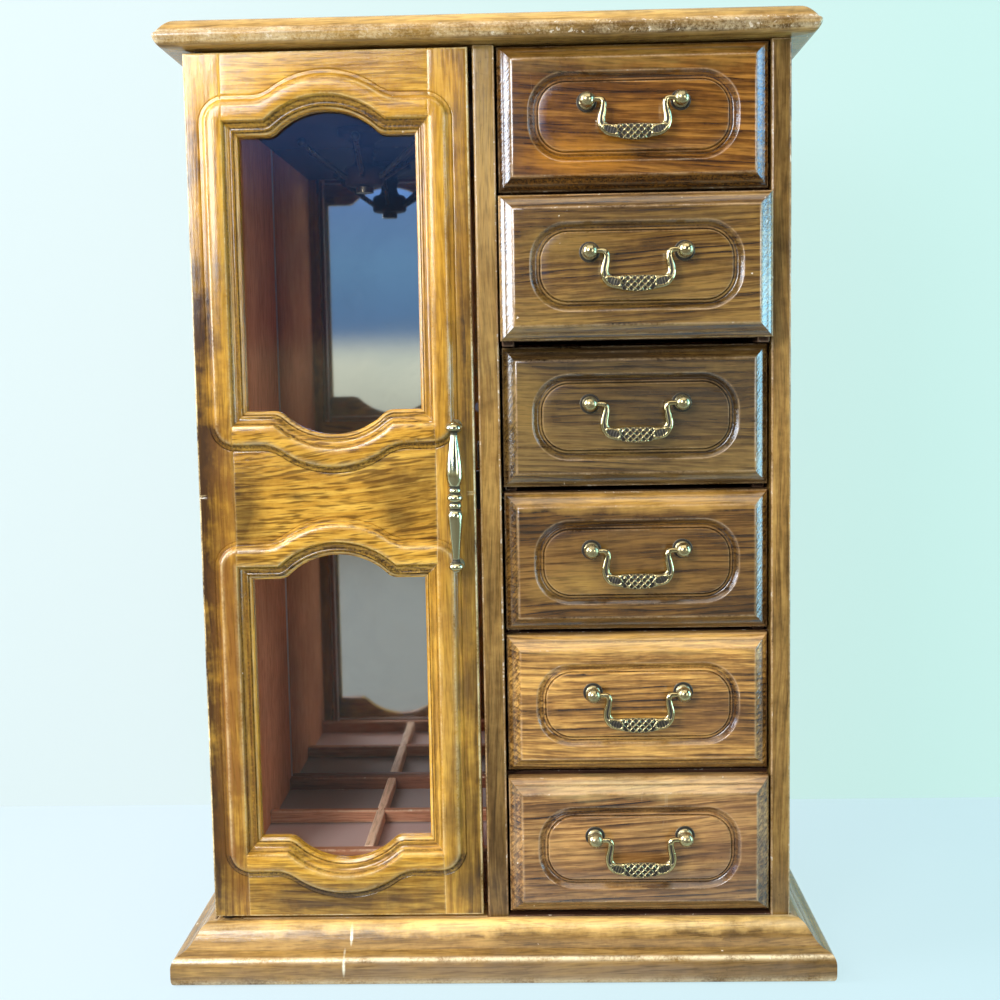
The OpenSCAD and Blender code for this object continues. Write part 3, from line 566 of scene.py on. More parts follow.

# The first two stile patches, dark down the door's lower left edge and corner, are painted shade where the light
# falls off.
stile_wood = wood(
    "honey_stile", "z", centre=(0.03, 0.05, 0.0), figure=0.8, mottle=0.4, toning=0.45, chips=0.3,
    stains_and_painted_light=[(-129, 165, 21, 245, (0.040, 0.016, 0.005), 1.8), (-124, 60, 18, 90, DARK, 1.0),
            (-8, 190, 12, 280, UMBER, 0.9), (-111, 120, 12, 140, (0.20, 0.075, 0.012), 1.0),
            (-20, 110, 10, 110, (0.24, 0.12, 0.03), 0.6), (-14, 60, 12, 60, DARK, 0.6)], **HONEY)
rail_wood = wood(
    "honey_rail", "x", rings=110.0, centre=(0.0, 0.03, 0.02), tilt=0.03, figure=0.9, mottle=0.5, toning=0.4,
    chips=0.3, dashes=0.45, stains_and_painted_light=[(-66, 33, 75, 14, (0.055, 0.028, 0.012), 0.9)], **HONEY)
panel_wood = wood(
    "honey_panel", "x", rings=110.0, centre=(0.0, 0.03, 0.02), tilt=0.09, figure=1.1, mottle=0.4, toning=0.4,
    chips=0.3, dashes=0.75, wave=0.03,
    stains_and_painted_light=[(-107, 196, 17, 26, DARK, 0.9), (-82, 206, 7, 2.6, DARK, 0.9), (-36, 205, 24, 13, DARK, 0.6),
            (-38, 195, 13, 6, DARK, 0.7), (-24, 216, 26, 8, DARK, 0.5)], **HONEY)
case_upright = wood(
    "case_upright", "z", centre=(0.1, 0.03, 0.0), calm=-0.054, mottle=0.6, toning=0.7, chips=0.45, specks=0.6,
    scuffs=[(3, 230, 6, 190, 1.3)],
    stains_and_painted_light=[(-1, 60, 12, 160, DARK, 0.75), (-1, 330, 12, 90, (0.50, 0.32, 0.11), 0.5),
            (119, 350, 12, 120, DARK, 0.85)], **CASE)
# The last case_long patch, a bright amber band along the base's up-facing upper slope, is a painted highlight.
case_long = wood(
    "case_long", "x", centre=(0.0, 0.03, 0.03), tilt=0.05, figure=0.9, mottle=0.5, chips=0.3, wear=0.6,
    stains_and_painted_light=[(0, 5, 160, 8, (0.20, 0.12, 0.06), 0.75), (-64, 18, 0.8, 4.5, SCRATCH, 1.2),
            (-66.5, 9, 0.9, 5.5, SCRATCH, 1.0), (20, 24, 170, 7, (0.85, 0.50, 0.15), 1.1)], **CASE_PALE)
# The pale golden top_long patch at z 398, along the up-facing upper chamfer, is a painted highlight.
top_long = wood(
    "top_long", "x", calm=-0.054, centre=(0.0, 0.03, 0.03), tilt=0.05, figure=0.9, mottle=0.5, chips=0.35,
    wear=0.35, scuffs=[(75, 394, 85, 9, 1.5), (-20, 392, 60, 6, 0.35)],
    stains_and_painted_light=[(80, 391, 75, 4, DARK, 0.7), (0, 398, 170, 4.5, (0.66, 0.39, 0.11), 0.85),
            (-60, 392, 70, 5, (0.34, 0.18, 0.04), 0.8)], **CASE_PALE)
case_side = wood("case_side", "y", centre=(0.1, 0.0, 0.04), figure=0.7, mottle=0.5, **CASE)
inner_upright = wood("inner_upright", "z", rough=0.62, coat=0.0, wear=0.2, figure=0.5, specks=0.2, **INNER)
inner_long = wood("inner_long", "x", rough=0.6, coat=0.0, wear=0.3, figure=0.5, specks=0.2, **INNER)
# The strips' broad pale rubbed edges are a painted highlight: light through the glass catching their edges.
strip_wood_lit_edges = wood("strip_wood_lit_edges", "z", rough=0.6, coat=0.0, sheen=0.05, specks=0.2, wear=1.4,
                  **dict(RED, bare=(0.80, 0.72, 0.64)))
# box_wood is kept near black, so the drawer boxes and shelves seen in the gaps read dark: painted shade.
box_wood = wood("box_wood", "x", rough=0.6, coat=0.0, figure=0.8, sheen=0.1, specks=0.2, **BOX)
divider_wood = wood("divider_wood", "x", rough=0.6, coat=0.0, figure=0.6, sheen=0.05, specks=0.2, **RED)
# The hub and the ceiling board are near black: painted shade at the top of the compartment, where little light
# reaches.
hub_wood_in_shade = wood("hub_in_shade", "z", rough=0.5, coat=0.0, figure=0.5, sheen=0.05, specks=0.1, **NEAR_BLACK_SHADE)
tray_wood = wood("tray_wood", "x", rough=0.6, coat=0.0, sheen=0.05, **TRAY)
tan_wood = wood("tan_divider", "y", rough=0.6, coat=0.0, sheen=0.05, **TAN)

# The drawer fronts, from the top down: how much lighter or darker each is than walnut, and its patches of stain
# and painted light. The first patch on fronts 1, 4, 5 and 6 is a golden band along the top bevel: a painted
# highlight where it faces up.
FRONT_TONE = [(0.84, 0.70, 0.5), (0.68, 0.72, 0.7), (0.48, 0.54, 0.65), (0.58, 0.55, 0.52), (1.8, 1.9, 2.1),
              (1.45, 1.5, 2.1)]
FRONT_STAINS_AND_HIGHLIGHTS = [
    [(59, 383, 70, 9, OLD_GOLD, 0.45), (36, 343, 34, 9, (0.46, 0.17, 0.010), 0.7), (6, 350, 14, 34, UMBER, 0.7)],
    [(62, 319, 60, 8, UMBER, 0.5), (34, 306, 26, 9, OLD_GOLD, 0.4), (20, 276, 30, 6, OLD_GOLD, 0.35)],
    [(86, 243, 40, 24, UMBER, 0.75), (12, 240, 14, 22, OLD_GOLD, 0.4), (40, 262, 50, 5, UMBER, 0.7)],
    [(59, 202, 75, 6, (0.60, 0.31, 0.06), 0.7), (38, 167, 30, 10, OLD_GOLD, 0.5),
     (100, 160, 20, 30, UMBER, 0.3)],
    [(59, 142, 75, 6, (0.62, 0.36, 0.10), 0.6), (100.5, 112, 4.5, 3.5, (0.030, 0.006, 0.002), 0.9),
     (90, 110, 22, 18, (0.20, 0.085, 0.025), 0.5)],
    [(59, 81, 75, 6, (0.62, 0.40, 0.14), 0.6), (50, 45, 30, 14, (0.36, 0.15, 0.04), 0.3),
     (96, 60, 24, 26, (0.22, 0.10, 0.04), 0.5)]]


def front_wood(k):
    """Drawer k's own board: the walnut scaled by its tone, cut from another place in the figure."""
    toned = {key: tuple(np.multiply(WALNUT[key], FRONT_TONE[k - 1]).tolist()) for key in ("dark", "mid", "pale")}
    return wood(f"walnut_front_{k}", "x", rings=115.0,
                centre=(0.013 * (k % 3) - 0.01, 0.028 + 0.009 * (k % 4), 0.07 * k), tilt=0.07 * (-1) ** k,
                rough=0.36, coat=0.9, chips=0.35, stains_and_painted_light=FRONT_STAINS_AND_HIGHLIGHTS[k - 1], figure=1.5, comb=1.2,
                coat_ior=1.8, bare=BARE, **toned)


def brass(name, clean, tarnish, reach):
    """Antiqued brass: clean metal rubbed through a dark patina that stays in hollows and spreads by noise."""
    material, tree, coords = new_material(name)
    cloud = noise(coords, 210.0, 5.0, 0.65)
    fleck = noise(coords, 1500.0, 3.0, 0.6)
    level = attribute(tree, "hollow_and_shade") * 0.9 + cloud * reach + fleck * 0.35 - attribute(tree, "wear") * 0.35
    stain = step(level, 0.48, 0.92)
    tone = mix(noise(coords, 90.0, 2.0), clean, tuple(np.multiply(clean, (0.8, 0.92, 1.0)).tolist()))
    return surface(material, {
        "Base Color": mix(stain, tone, tarnish), "Metallic": 1.0 - stain * 0.55,
        "Roughness": 0.15 + stain * 0.40, "Normal": bump(fleck * 0.5 + stain * -0.4, 0.45, 0.00012)})


def speckled(name, dark, pale, scale, detail, rough, gloss, metallic=0.0):
    """A fine even texture between two colours. gloss is the least roughness and how much the texture adds."""
    material, _, coords = new_material(name)
    fine = noise(coords, scale, detail, rough)
    return surface(material, {"Base Color": mix(fine, dark, pale), "Metallic": metallic,
                              "Roughness": gloss[0] + fine * gloss[1], "Normal": bump(fine, 0.3, 0.0001)})


def felt(name):
    """Short pile: fine fibre noise, slow fading, paler in its front half, soft sheen."""
    material, _, coords = new_material(name)
    fibre = noise(coords, 3200.0, 3.0, 0.7)
    colour = mix(fibre, (0.075, 0.030, 0.018), (0.17, 0.075, 0.048))
    colour = mix(noise(coords, 30.0, 3.0) * 0.4, colour, (0.16, 0.09, 0.07))
    colour = mix(step(part_of(coords, "Y"), 0.012, 0.008), colour, (0.42, 0.24, 0.20))
    return surface(material, {"Base Color": colour, "Roughness": 0.85 + fibre * 0.1, "Sheen Weight": 0.3,
                              "Normal": bump(fibre, 0.7, 0.0003)})


def window_glass(name):
    """Clear thin glass: mostly see-through by Alpha, with faint smears in its gloss."""
    material, tree, coords = new_material(name)
    smear = noise(coords, 22.0, 4.0, 0.6, 0.6)
    haze = step(smear, 0.45, 0.8) * 0.012
    outside = 1.0 - put(tree, "NewGeometry")["Backfacing"]
    share = (put(tree, "Fresnel", {"IOR": 1.45})[0] * 1.3 + haze) * outside
    return surface(material, {
        "Base Color": mix(smear, (0.80, 0.86, 0.86), (0.90, 0.93, 0.92)), "Metallic": 1.0,
        "Alpha": calc("ADD", share, 0.001, clamp=True), "Roughness": 0.02 + smear * 0.05})


def silvering(name):
    """Mirror: bright metal, faint haze and dusty smears, with a plain ground edge at its sides."""
    material, _, coords = new_material(name)
    smear = noise(coords, 30.0, 5.0, 0.62, 0.8)
    dust = step(noise(coords, 260.0, 4.0, 0.7), 0.58, 0.75)
    colour = mix(step(smear, 0.4, 0.8), (0.74, 0.78, 0.79), (0.66, 0.71, 0.73))
    colour = mix(dust * 0.25, colour, (0.52, 0.56, 0.58))
    ground = calc("GREATER_THAN", calc("ABSOLUTE", part_of(coords, "X") + 0.0591), 0.0523)
    return surface(material, {"Base Color": mix(ground, colour, (0.40, 0.34, 0.32)), "Metallic": 1.0 - ground,
                              "Roughness": 0.02 + smear * 0.05})


old_brass = brass("bail_brass", (0.50, 0.38, 0.18), (0.026, 0.019, 0.011), 0.80)
# Brass kept near black, for the pegs, the carousel bolt and the door's pivot pins: painted shade where they sit
# in the dark.
brass_in_shade = brass("peg_brass_in_shade", (0.10, 0.07, 0.035), (0.020, 0.014, 0.010), 1.0)
pull_brass = brass("pull_brass", (0.55, 0.48, 0.27), (0.040, 0.032, 0.016), 1.0)
plain_steel = speckled("turned_steel", (0.42, 0.42, 0.43), (0.60, 0.60, 0.61), 500.0,
                       4.0, 0.6, (0.22, 0.22), 1.0)
catch_plastic = speckled("catch_plastic", (0.020, 0.016, 0.013), (0.045, 0.036, 0.030), 700.0, 3.0, 0.55,
                         (0.5, 0.2))
tray_felt = felt("tray_felt")
clear_glass = window_glass("door_glass")
mirror_silver = silvering("mirror_silver")


# Carved door: the section is (distance out from the glass, height in front of the field).
RELIEF = np.array([
    [0, -2.4], [0.35, -2.2], [0.8, -1.9], [1.25, -1.62], [1.42, -1.8], [1.56, -1.5], [1.75, -1.1],
    [1.95, -0.93], [2.15, -0.9], [2.4, -1.0], [2.9, -1.02], [3.4, -0.88], [3.9, -0.58], [4.35, -0.12],
    [4.6, 0.2], [4.6, 0.2], [4.85, 0.6], [5.1, 1.1], [5.35, 1.7], [5.52, 2.1], [5.7, 2.36], [6.1, 2.5],
    [7.4, 2.64], [8.9, 2.68], [10.4, 2.62], [11.4, 2.5], [11.9, 2.36], [12.25, 2.15], [12.65, 1.78],
    [13.0, 1.35], [13.3, 0.92], [13.5, 0.62], [13.62, 0.5], [13.8, 0.46], [14.4, 0.5], [14.9, 0.45],
    [15.02, 0.25], [15.1, 0.0], [15.25, -0.18], [15.5, -0.04], [15.9, 0.0]])
GLASS_HALF = (36.4, 56.0)
ARRIS = 5.7
FOOT = 15.1
JOINT = (42.1, 62.2)
T_ARCH = np.linspace(0, 1, 22)
T_SHOULDER = np.array([0, .2, .4, .6, .8, .93, .985, 1])
T_CORNER = np.array([0, .015, .07, .18, .3, .4, .5, .6, .7, .82, .93, 1])
T_SIDE = np.array([0, .004, .014, .06, .15, .3, .5, .75, 1])
I_JOINT = len(T_ARCH) + len(T_SHOULDER) - 2
I_SIDE = I_JOINT + len(T_CORNER) - 1


def window_runs(hw, hh, rise, span, fillet, corner):
    """Upper right quarter of a window outline: a crown arc, a fillet curving the other way, a flat shoulder, a
    corner arc and the side."""
    big = (span ** 2 + rise ** 2) / (2 * rise) - fillet
    turn = np.arctan2(span, big + fillet - rise)
    a = np.linspace(np.pi / 2, np.pi / 2 - turn, 60)
    crown = np.stack([big * np.cos(a), hh + rise - big + big * np.sin(a)], -1)
    b = np.linspace(-np.pi / 2 - turn, -np.pi / 2, 20)
    bend = np.stack([span + fillet * np.cos(b), hh + fillet + fillet * np.sin(b)], -1)
    arch = np.concatenate([crown, bend])
    cx, cz = hw - corner, hh - corner
    if corner > 0:
        a0 = np.arccos((JOINT[0] - cx) / corner)
        a1 = np.arcsin((JOINT[1] - cz) / corner)
    else:
        a0 = a1 = np.pi / 4
    arc = [np.linspace(s, e, 30) for s, e in ((np.pi / 2, a0), (a0, a1), (a1, 0))]
    first, middle, last = (np.stack([cx + corner * np.cos(t), cz + corner * np.sin(t)], -1) for t in arc)
    shoulder = np.concatenate([[[span, hh]], first])
    side = np.concatenate([last, [[hw, 0]]])
    return np.concatenate([along(arch, T_ARCH), along(shoulder, T_SHOULDER)[1:], along(middle, T_CORNER)[1:],
                           along(side, T_SIDE)[1:]])


def cell_runs(w, h):
    """The same quarter carried out to the rectangle of door round the window, w wide and h high."""
    t = T_CORNER[1:, None]
    out = np.where(t < 0.5, [JOINT[0], h] + (np.array([w - JOINT[0], 0]) * t * 2),
                   [w, h] + np.array([0, JOINT[1] - h]) * (2 * t - 1))
    arch = along([[0, h], [30, h]], T_ARCH)
    shoulder = along([[30, h], [JOINT[0], h]], T_SHOULDER)[1:]
    side = along([[w, JOINT[1]], [w, 0]], T_SIDE)[1:]
    return np.concatenate([arch, shoulder, out, side])


GLASS_RUN = window_runs(GLASS_HALF[0], GLASS_HALF[1], 10.0, 24.8, 6.0, 0.0)
ARRIS_RUN = window_runs(JOINT[0], JOINT[1], 9.9, 24.8, 0.3, 0.0)
FOOT_RUN = window_runs(51.5, 72.25, 9.6, 30.0, 14.0, 11.0)
# How far in from the door's edge its last rings lie, and the edge's radius.
EDGE_INSET = np.array([1.6, 0.95, 0.5, 0.2, 0.0])
EDGE_R = 0.9
JOINT_DEEP = 0.13


def door_quarter(window, sx, sz):
    """A quarter of the door round one window: its front, its backs for a rail and for a stile, wear, and hollow
    values that are grime and painted shade. Rings run from the glass to the door's edge and spokes from the
    crown to mid-height. Heights are the section's, less a groove at the joints and the rounded edge."""
    cz = WINDOW_Z[window]
    outer_x = DOOR_X1 if sx > 0 else DOOR_X0
    outer_z = WINDOWS_MEET if (sz > 0) == (window == 0) else (DOOR_Z1 if sz > 0 else DOOR_Z0)
    w, h = abs(outer_x - WINDOW_X), abs(outer_z - cz)
    edge = cell_runs(w, h)
    every = np.ones(len(edge))
    away = edge - FOOT_RUN
    away = away / np.linalg.norm(away, axis=1)[:, None]
    d = RELIEF[:, 0]
    inner = np.clip(d / ARRIS, 0, 1)[:, None, None]
    outer = np.clip((d - ARRIS) / (FOOT - ARRIS), 0, 1)[:, None, None]
    rings = GLASS_RUN + (ARRIS_RUN - GLASS_RUN) * inner + (FOOT_RUN - ARRIS_RUN) * outer
    rings = rings + np.clip(d - FOOT, 0, None)[:, None, None] * away
    plan = np.concatenate([rings, np.stack([cell_runs(w - e, h - e) for e in EDGE_INSET])])
    height = np.concatenate([RELIEF[:, 1], np.zeros(len(EDGE_INSET))])[:, None] * every
    groove = np.zeros(plan.shape[:2])
    groove[:, I_JOINT] = JOINT_DEEP
    groove[:, [I_JOINT - 1, I_JOINT + 1]] = 0.03
    closed = np.concatenate([d <= ARRIS, np.zeros(len(EDGE_INSET), bool)])
    groove[closed, I_JOINT:I_SIDE + 1] = JOINT_DEEP
    groove[closed, I_SIDE + 1] = 0.03
    x = WINDOW_X + sx * plan[..., 0]
    z = cz + sz * plan[..., 1]
    near = np.minimum(np.minimum(x - DOOR_X0, DOOR_X1 - x), np.minimum(z - DOOR_Z0, DOOR_Z1 - z))
    near = np.clip(near, 0, EDGE_R)
    height = height - groove - EDGE_R + np.sqrt(np.maximum(EDGE_R ** 2 - (EDGE_R - near) ** 2, 0))
    front = np.stack([x, DOOR_Y0 - height, z], -1)

    # The back: a seat for the glass, then the door's back face, rounded about the hinge.
    dist = np.concatenate([d, FOOT + 6 - EDGE_INSET])
    seat = (dist < SEAT_OUT) | (np.arange(len(dist)) == np.flatnonzero(dist == SEAT_OUT)[0])
    up = plan[..., 1]
    raised = np.where(seat[:, None], up + (SEAT_HALF - up) * np.clip(dist / SEAT_OUT, 0, 1)[:, None],
                      np.maximum(up, SEAT_HALF))
    arc = np.sqrt(np.maximum(HINGE_R ** 2 - np.minimum(x - HINGE[0], 0) ** 2, 0)) + HINGE[1]
    back_y = np.where(seat[:, None], SEAT_Y, np.minimum(DOOR_Y1, arc))
    rail_back, stile_back = (np.stack([x, back_y, cz + sz * v], -1) for v in (raised, up))

    # Wear lies on the arrises, the outer edge and the joints. The hollow values are grime in the hollows and
    # painted shade: more where the mouldings face down or right, and at the arch shoulders.
    wear = bump_at(dist, [0.9, ARRIS, 12.0], [0.25, 0.4, 0.6], [0.5, 0.5, 0.4])[:, None] * every
    wear = np.maximum(wear, 0.95 * (near < 0.75 * EDGE_R))
    wear = np.maximum(wear, groove * (5.0 if sx > 0 else 2.5) * (dist > 2.6)[:, None])
    deep = bump_at(dist, [1.42, 2.7, 4.75, 13.75, 15.25], [0.2, 0.5, 0.3, 0.35, 0.3],
                   [1.0, 0.45, 0.8, 0.3, 0.2])[:, None] * every
    shoulder = bump_at(np.arange(len(edge)), [17.5], [4.5], [0.5])
    face_down, face_right = sz * away[:, 1], sx * away[:, 0]
    inner_face_shade = 0.6 * np.clip(face_down, 0, 1) + 0.3 * np.clip(-face_right, 0, 1) + shoulder
    outer_face_shade = 0.7 * np.clip(face_right - 0.15, 0, 1) * (np.abs(face_down) > 0.2)
    outer_face_shade = 0.9 * np.clip(-1.5 * face_down, 0, 1) + outer_face_shade
    deep = deep + bump_at(dist, [0.3, 2.9], [1.0, 1.9], [0.6, 1.0])[:, None] * inner_face_shade
    deep = deep + bump_at(dist, [13.4, 15.2], [1.5, 0.35], [1.0, 0.6])[:, None] * outer_face_shade
    return front, rail_back, stile_back, wear, np.clip(deep * (near > 0.3), 0, 1)


def door_side(window, sz, part):
    """The skin of a door piece on one side of a window's middle. part is left, right or rail. The quarter's
    spokes are cut at the joint line, and a rail's two quarters are laid end to end."""
    cut = slice(0, I_JOINT + 1) if part == "rail" else slice(I_JOINT, None)
    sheets = []
    for sx in {"rail": (1, -1), "right": (1,), "left": (-1,)}[part]:
        front, rail_back, stile_back, wear, deep = door_quarter(window, sx, sz)
        back = rail_back if part == "rail" else stile_back
        sheets.append([a[:, cut] for a in (front, back, wear, deep)])
    if part == "rail":
        sheets = [[np.concatenate([b[:, :0:-1], a], 1) for a, b in zip(*sheets)]]
    front, back, wear, deep = sheets[0]
    return slab(front, back) + tuple(np.concatenate([v.ravel(), 0 * v.ravel()]) for v in (wear, deep))


def on_mid(points):
    """Marks points on the line where the two windows' sheets meet."""
    return np.abs(points[:, 2] - WINDOWS_MEET) < 0.01


def at_centre(points):
    """Marks points on a window's mid-height, or between the windows."""
    middle = np.abs(points[:, 2, None] - np.array(WINDOW_Z)).min(1) < 0.01
    return middle | on_mid(points)


def build_door():
    """The five carved pieces. Walls where two sheets of one piece meet are left out."""
    for part in ("left", "right"):
        skins = [door_side(window, sz, part) for window in (0, 1) for sz in (1, -1)]
        make(f"carved_{part}_stile", "door", skins, stile_wood, (f"door_{part}_stile",), 24.0,
             at_centre)
    for place, finish, cells, drop in (("top", rail_wood, [(1, 1)], None),
                                       ("bottom", rail_wood, [(0, -1)], None),
                                       ("middle", panel_wood, [(0, 1), (1, -1)], on_mid)):
        skins = [door_side(window, sz, "rail") for window, sz in cells]
        make(f"carved_{place}_rail", "door", skins, finish, (f"door_{place}_rail",), 24.0, drop)


build_door()


# Drawer fronts: the sections of the edge and of the oval groove are (distance in, distance in front of the rim
# plane). UNDER_SHADE is how dark each front's lower edge is painted: painted shade on the faces turned down.
EDGE = np.array([
    [0, -5.5], [0, -0.5], [0.06, -0.2], [0.25, 0.1], [0.45, 0.5], [0.8, 0.98], [1.3, 1.5], [1.85, 1.97],
    [2.3, 2.3], [2.4, 2.6], [2.5, 2.88], [2.72, 3.0], [3.3, 3.36], [4.1, 3.98], [4.9, 4.7], [5.6, 5.4],
    [5.74, 5.6], [5.95, 5.7], [6.6, 5.7]])
GROOVE = np.array([
    [-0.6, 5.7], [-0.25, 5.69], [0.0, 5.62], [0.15, 5.5], [0.4, 5.28], [0.8, 4.94], [1.2, 4.6],
    [1.6, 4.25], [1.95, 3.95], [2.2, 3.8], [2.42, 3.78], [2.6, 3.92], [2.74, 4.2], [2.95, 4.62],
    [3.2, 4.86], [3.45, 4.86], [3.68, 4.66], [3.82, 4.44], [3.96, 4.66], [4.1, 5.05], [4.26, 5.42],
    [4.45, 5.64], [4.8, 5.7]])
FRONT_HALF = (55.1, 29.15)
T_TOP = np.array([0, .3, .6, .9, 1])
T_ROUND = np.linspace(0, 1, 13)
T_END = np.array([0, .4, 1])
UNDER_SHADE = [0.95, 0.12, 0.3, 0.35, 0.5, 0.5]


def oblong(hw, hh, corner):
    """Quarter of a rounded rectangle: top, corner arc, end."""
    corner = max(corner, 0.0)
    a = np.pi / 2 * (1 - T_ROUND[1:])
    arc = np.stack([hw - corner + corner * np.cos(a), hh - corner + corner * np.sin(a)], -1)
    top = along([[0, hh], [hw - corner, hh]], T_TOP) if hw > corner else np.array([[0, hh]] * len(T_TOP), float)
    end = [[hw, 0.0]] * (len(T_END) - 1)
    if hh > corner:
        end = along([[hw, hh - corner], [hw, 0]], T_END)[1:]
    return np.concatenate([top, arc, end])


def build_drawer_front(k):
    """Drawer k's front, from ring to ring: the box's back, the stepped and sloped edge, the flat field, the
    oval groove with its cove, bead and V line, and the middle, shrunk to a line at each end."""
    hw, hh = FRONT_HALF
    side, end = hw - 12.45, hh - 11.35
    plan = [oblong(hw - hh, 0, 0)] + [oblong(hw - i, hh - i, 0) for i in EDGE[:, 0]]
    plan += [oblong(side - g, end - g, 15.2 - g) for g in GROOVE[:, 0]]
    plan += [oblong(side - 8, end - 8, 7.2), oblong(hw - hh - 1, 0, 0)]
    rings = np.stack([whole_ring(q) for q in plan])
    forward = np.concatenate([EDGE[:1, 1], EDGE[:, 1], GROOVE[:, 1], [5.7, 5.7]])
    forward = forward[:, None] * np.ones(rings.shape[1])
    points = np.stack([DRAWER_X + rings[..., 0], FRONT_Y0 - forward - DRAWER_OUT[k - 1],
                       drawer_z(k) + FRONT_GAP + hh + rings[..., 1]], -1)
    inset = np.concatenate([[0], EDGE[:, 0], 100 + GROOVE[:, 0], [200, 200]])
    wear = bump_at(inset, [0.3, 2.45, 5.75, 100.0, 103.2, 104.35], [0.3, 0.25, 0.25, 0.25, 0.3, 0.25],
                   [0.8, 0.4, 0.8, 0.5, 0.3, 0.4])
    deep = bump_at(inset, [2.65, 101.1, 102.4, 103.82], [0.25, 0.75, 0.3, 0.22], [0.8, 0.6, 0.9, 1.0])
    wear, deep = (np.repeat(v, rings.shape[1]) for v in (wear, deep))
    # The lower bevel of the edge is darkened by the front's UNDER_SHADE share: painted shade where it faces
    # down.
    under = (rings[..., 1] < 0.4 - hh + np.minimum(inset, 5.4)[:, None]) & (inset < 5.5)[:, None]
    deep = np.maximum(deep, UNDER_SHADE[k - 1] * under.ravel())
    make(f"moulded_front_{k}", f"drawer_{k}", [loft(points) + (wear, deep)], front_wood(k),
         (f"drawer_{k}_front",), 26.0)


def build_drawer_box(k):
    """Sides, back and bottom, with eased edges."""
    thick, high, bottom = 5, 50, 2
    z0 = drawer_z(k) + SHELF_UP + RUN_GAP
    x0, x1 = BAY_X0 + BOX_GAP, BAY_X1 - BOX_GAP
    y0, y1 = 9.5 - DRAWER_OUT[k - 1], 117.5 - DRAWER_OUT[k - 1]
    skins = boards(([x0, y0, z0], [x0 + thick, y1, z0 + high]), ([x1 - thick, y0, z0], [x1, y1, z0 + high]),
                   ([x0 + thick, y1 - thick, z0 + bottom], [x1 - thick, y1, z0 + high]),
                   ([x0 + thick, y0, z0 + bottom], [x1 - thick, y1 - thick, z0 + bottom + 2.5]), r=0.7)
    # The lowest 4 mm of each board gets a high hollow value, which darkens it: painted shade under the box.
    skins = [skin + (0.9 * (skin[0][:, 2] < z0 + 4),) for skin in skins]
    make(f"drawer_{k}_carcass", f"drawer_{k}", skins, box_wood, (f"drawer_{k}_box",))


# Bail pulls. POST is (radius, distance out from the field), LINE the half bail's (x, z, half width).
BALL_R = 3.15
BALL = np.linspace(-1.04, np.pi / 2, 16)
POST = np.concatenate([
    [[0, -13.2], [2.7, -13.2], [3.0, -12.9], [3.0, -11.2], [1.5, -11.2], [1.5, 0], [3.95, 0], [4.15, 0.2],
     [4.15, 0.5], [3.95, 0.78], [3.55, 0.85], [3.3, 0.75], [3.12, 0.95], [2.95, 1.3], [2.55, 1.6], [2.0, 1.75],
     [1.7, 2.05], [1.55, 2.6], [1.6, 3.1]],
    np.stack([BALL_R * np.cos(BALL), 6.0 + BALL_R * np.sin(BALL)], -1)])
LINE = np.array([
    [18.5, 0, 0.9], [16.6, 0, 0.95], [15.2, 0.05, 1.0], [14.0, 0.05, 1.1], [13.0, -0.35, 1.25],
    [12.45, -1.4, 1.35], [12.45, -3.0, 1.45], [12.8, -5.0, 1.55], [13.2, -7.0, 1.65], [13.2, -8.8, 1.75],
    [12.5, -10.5, 1.95], [11.2, -11.7, 2.2], [9.6, -12.25, 2.4], [8.2, -12.4, 2.5], [6.9, -12.5, 2.75],
    [5.2, -12.6, 2.9], [2.6, -12.8, 3.15], [0, -12.9, 3.25]])


def bail_skin():
    """The bail about its pins. A flattened round section follows the centre line, as wide as the line's third
    column. Its front is lowered by flutes on the legs, an oval pad at each lower corner, and two families of
    diagonal grooves on the grip."""
    half = spline(LINE, 11)
    line = along_plan(np.concatenate([half, (half * [-1, 1, 1])[-2::-1]]), 300)
    ahead = np.gradient(line[:, :2], axis=0)
    ahead /= np.linalg.norm(ahead, axis=1)[:, None]
    turn = np.linspace(0, 2 * np.pi, 48, endpoint=False)
    turn = turn + 0.3 * np.sin(2 * turn)
    c, s = np.cos(turn), np.sin(turn)
    flat = np.clip((np.abs(line[:, 1]) - 9.5) / 2.5, 0, 1)[:, None]
    wide = line[:, 2:3] * np.sign(c) * np.abs(c) ** (1 - 0.28 * flat)
    thick = np.minimum(line[:, 2:3], 1.45) * np.sign(s) * np.abs(s) ** (1 - 0.3 * flat)
    x = line[:, 0:1] - ahead[:, 1:2] * wide
    z = line[:, 1:2] + ahead[:, 0:1] * wide
    out = np.abs(x)
    facing = np.clip(s, 0, 1)[None, :] ** 0.5
    leg = np.clip(np.minimum(-line[:, 1] - 1.2, line[:, 1] + 10.6), 0, 1)[:, None]
    flute = 0.42 * np.exp(-(wide / (0.30 * line[:, 2:3])) ** 2) * leg
    grip = np.clip((7.0 - out) / 0.5, 0, 1) * (z < -9.0)
    cuts = sum(np.exp(-(np.sin(np.pi * (x + way * z) / 2.7) / 0.33) ** 2) for way in (1, -1))
    cuts = 0.5 * (1 - np.clip(cuts, 0, 1)) * grip
    pad = np.hypot((out - 9.6) / 2.9, (z + 12.1 - 0.25 * (out - 9.6)) / 1.6)
    oval = 0.45 * np.clip((1.0 - pad) / 0.15, 0, 1) * (0.75 + 0.25 * np.sin(5.2 * (out + 0.3 * z)))
    oval = oval + 0.25 * np.exp(-((pad - 1.42) / 0.12) ** 2) * (out < 12.3)
    low = (flute + cuts + oval) * facing
    points = np.stack([x, -thick + low, z], -1)
    deep = np.clip((low - 0.35 * cuts * facing) / 0.45, 0, 1)
    wear = np.clip(facing * (1 - deep), 0, 1)
    none = np.zeros((1, len(turn)))
    skin = loft(points, (points[0].mean(0), points[-1].mean(0)))
    return skin + tuple(np.concatenate([none, v, none]).ravel() for v in (wear, deep))


BAIL = bail_skin()


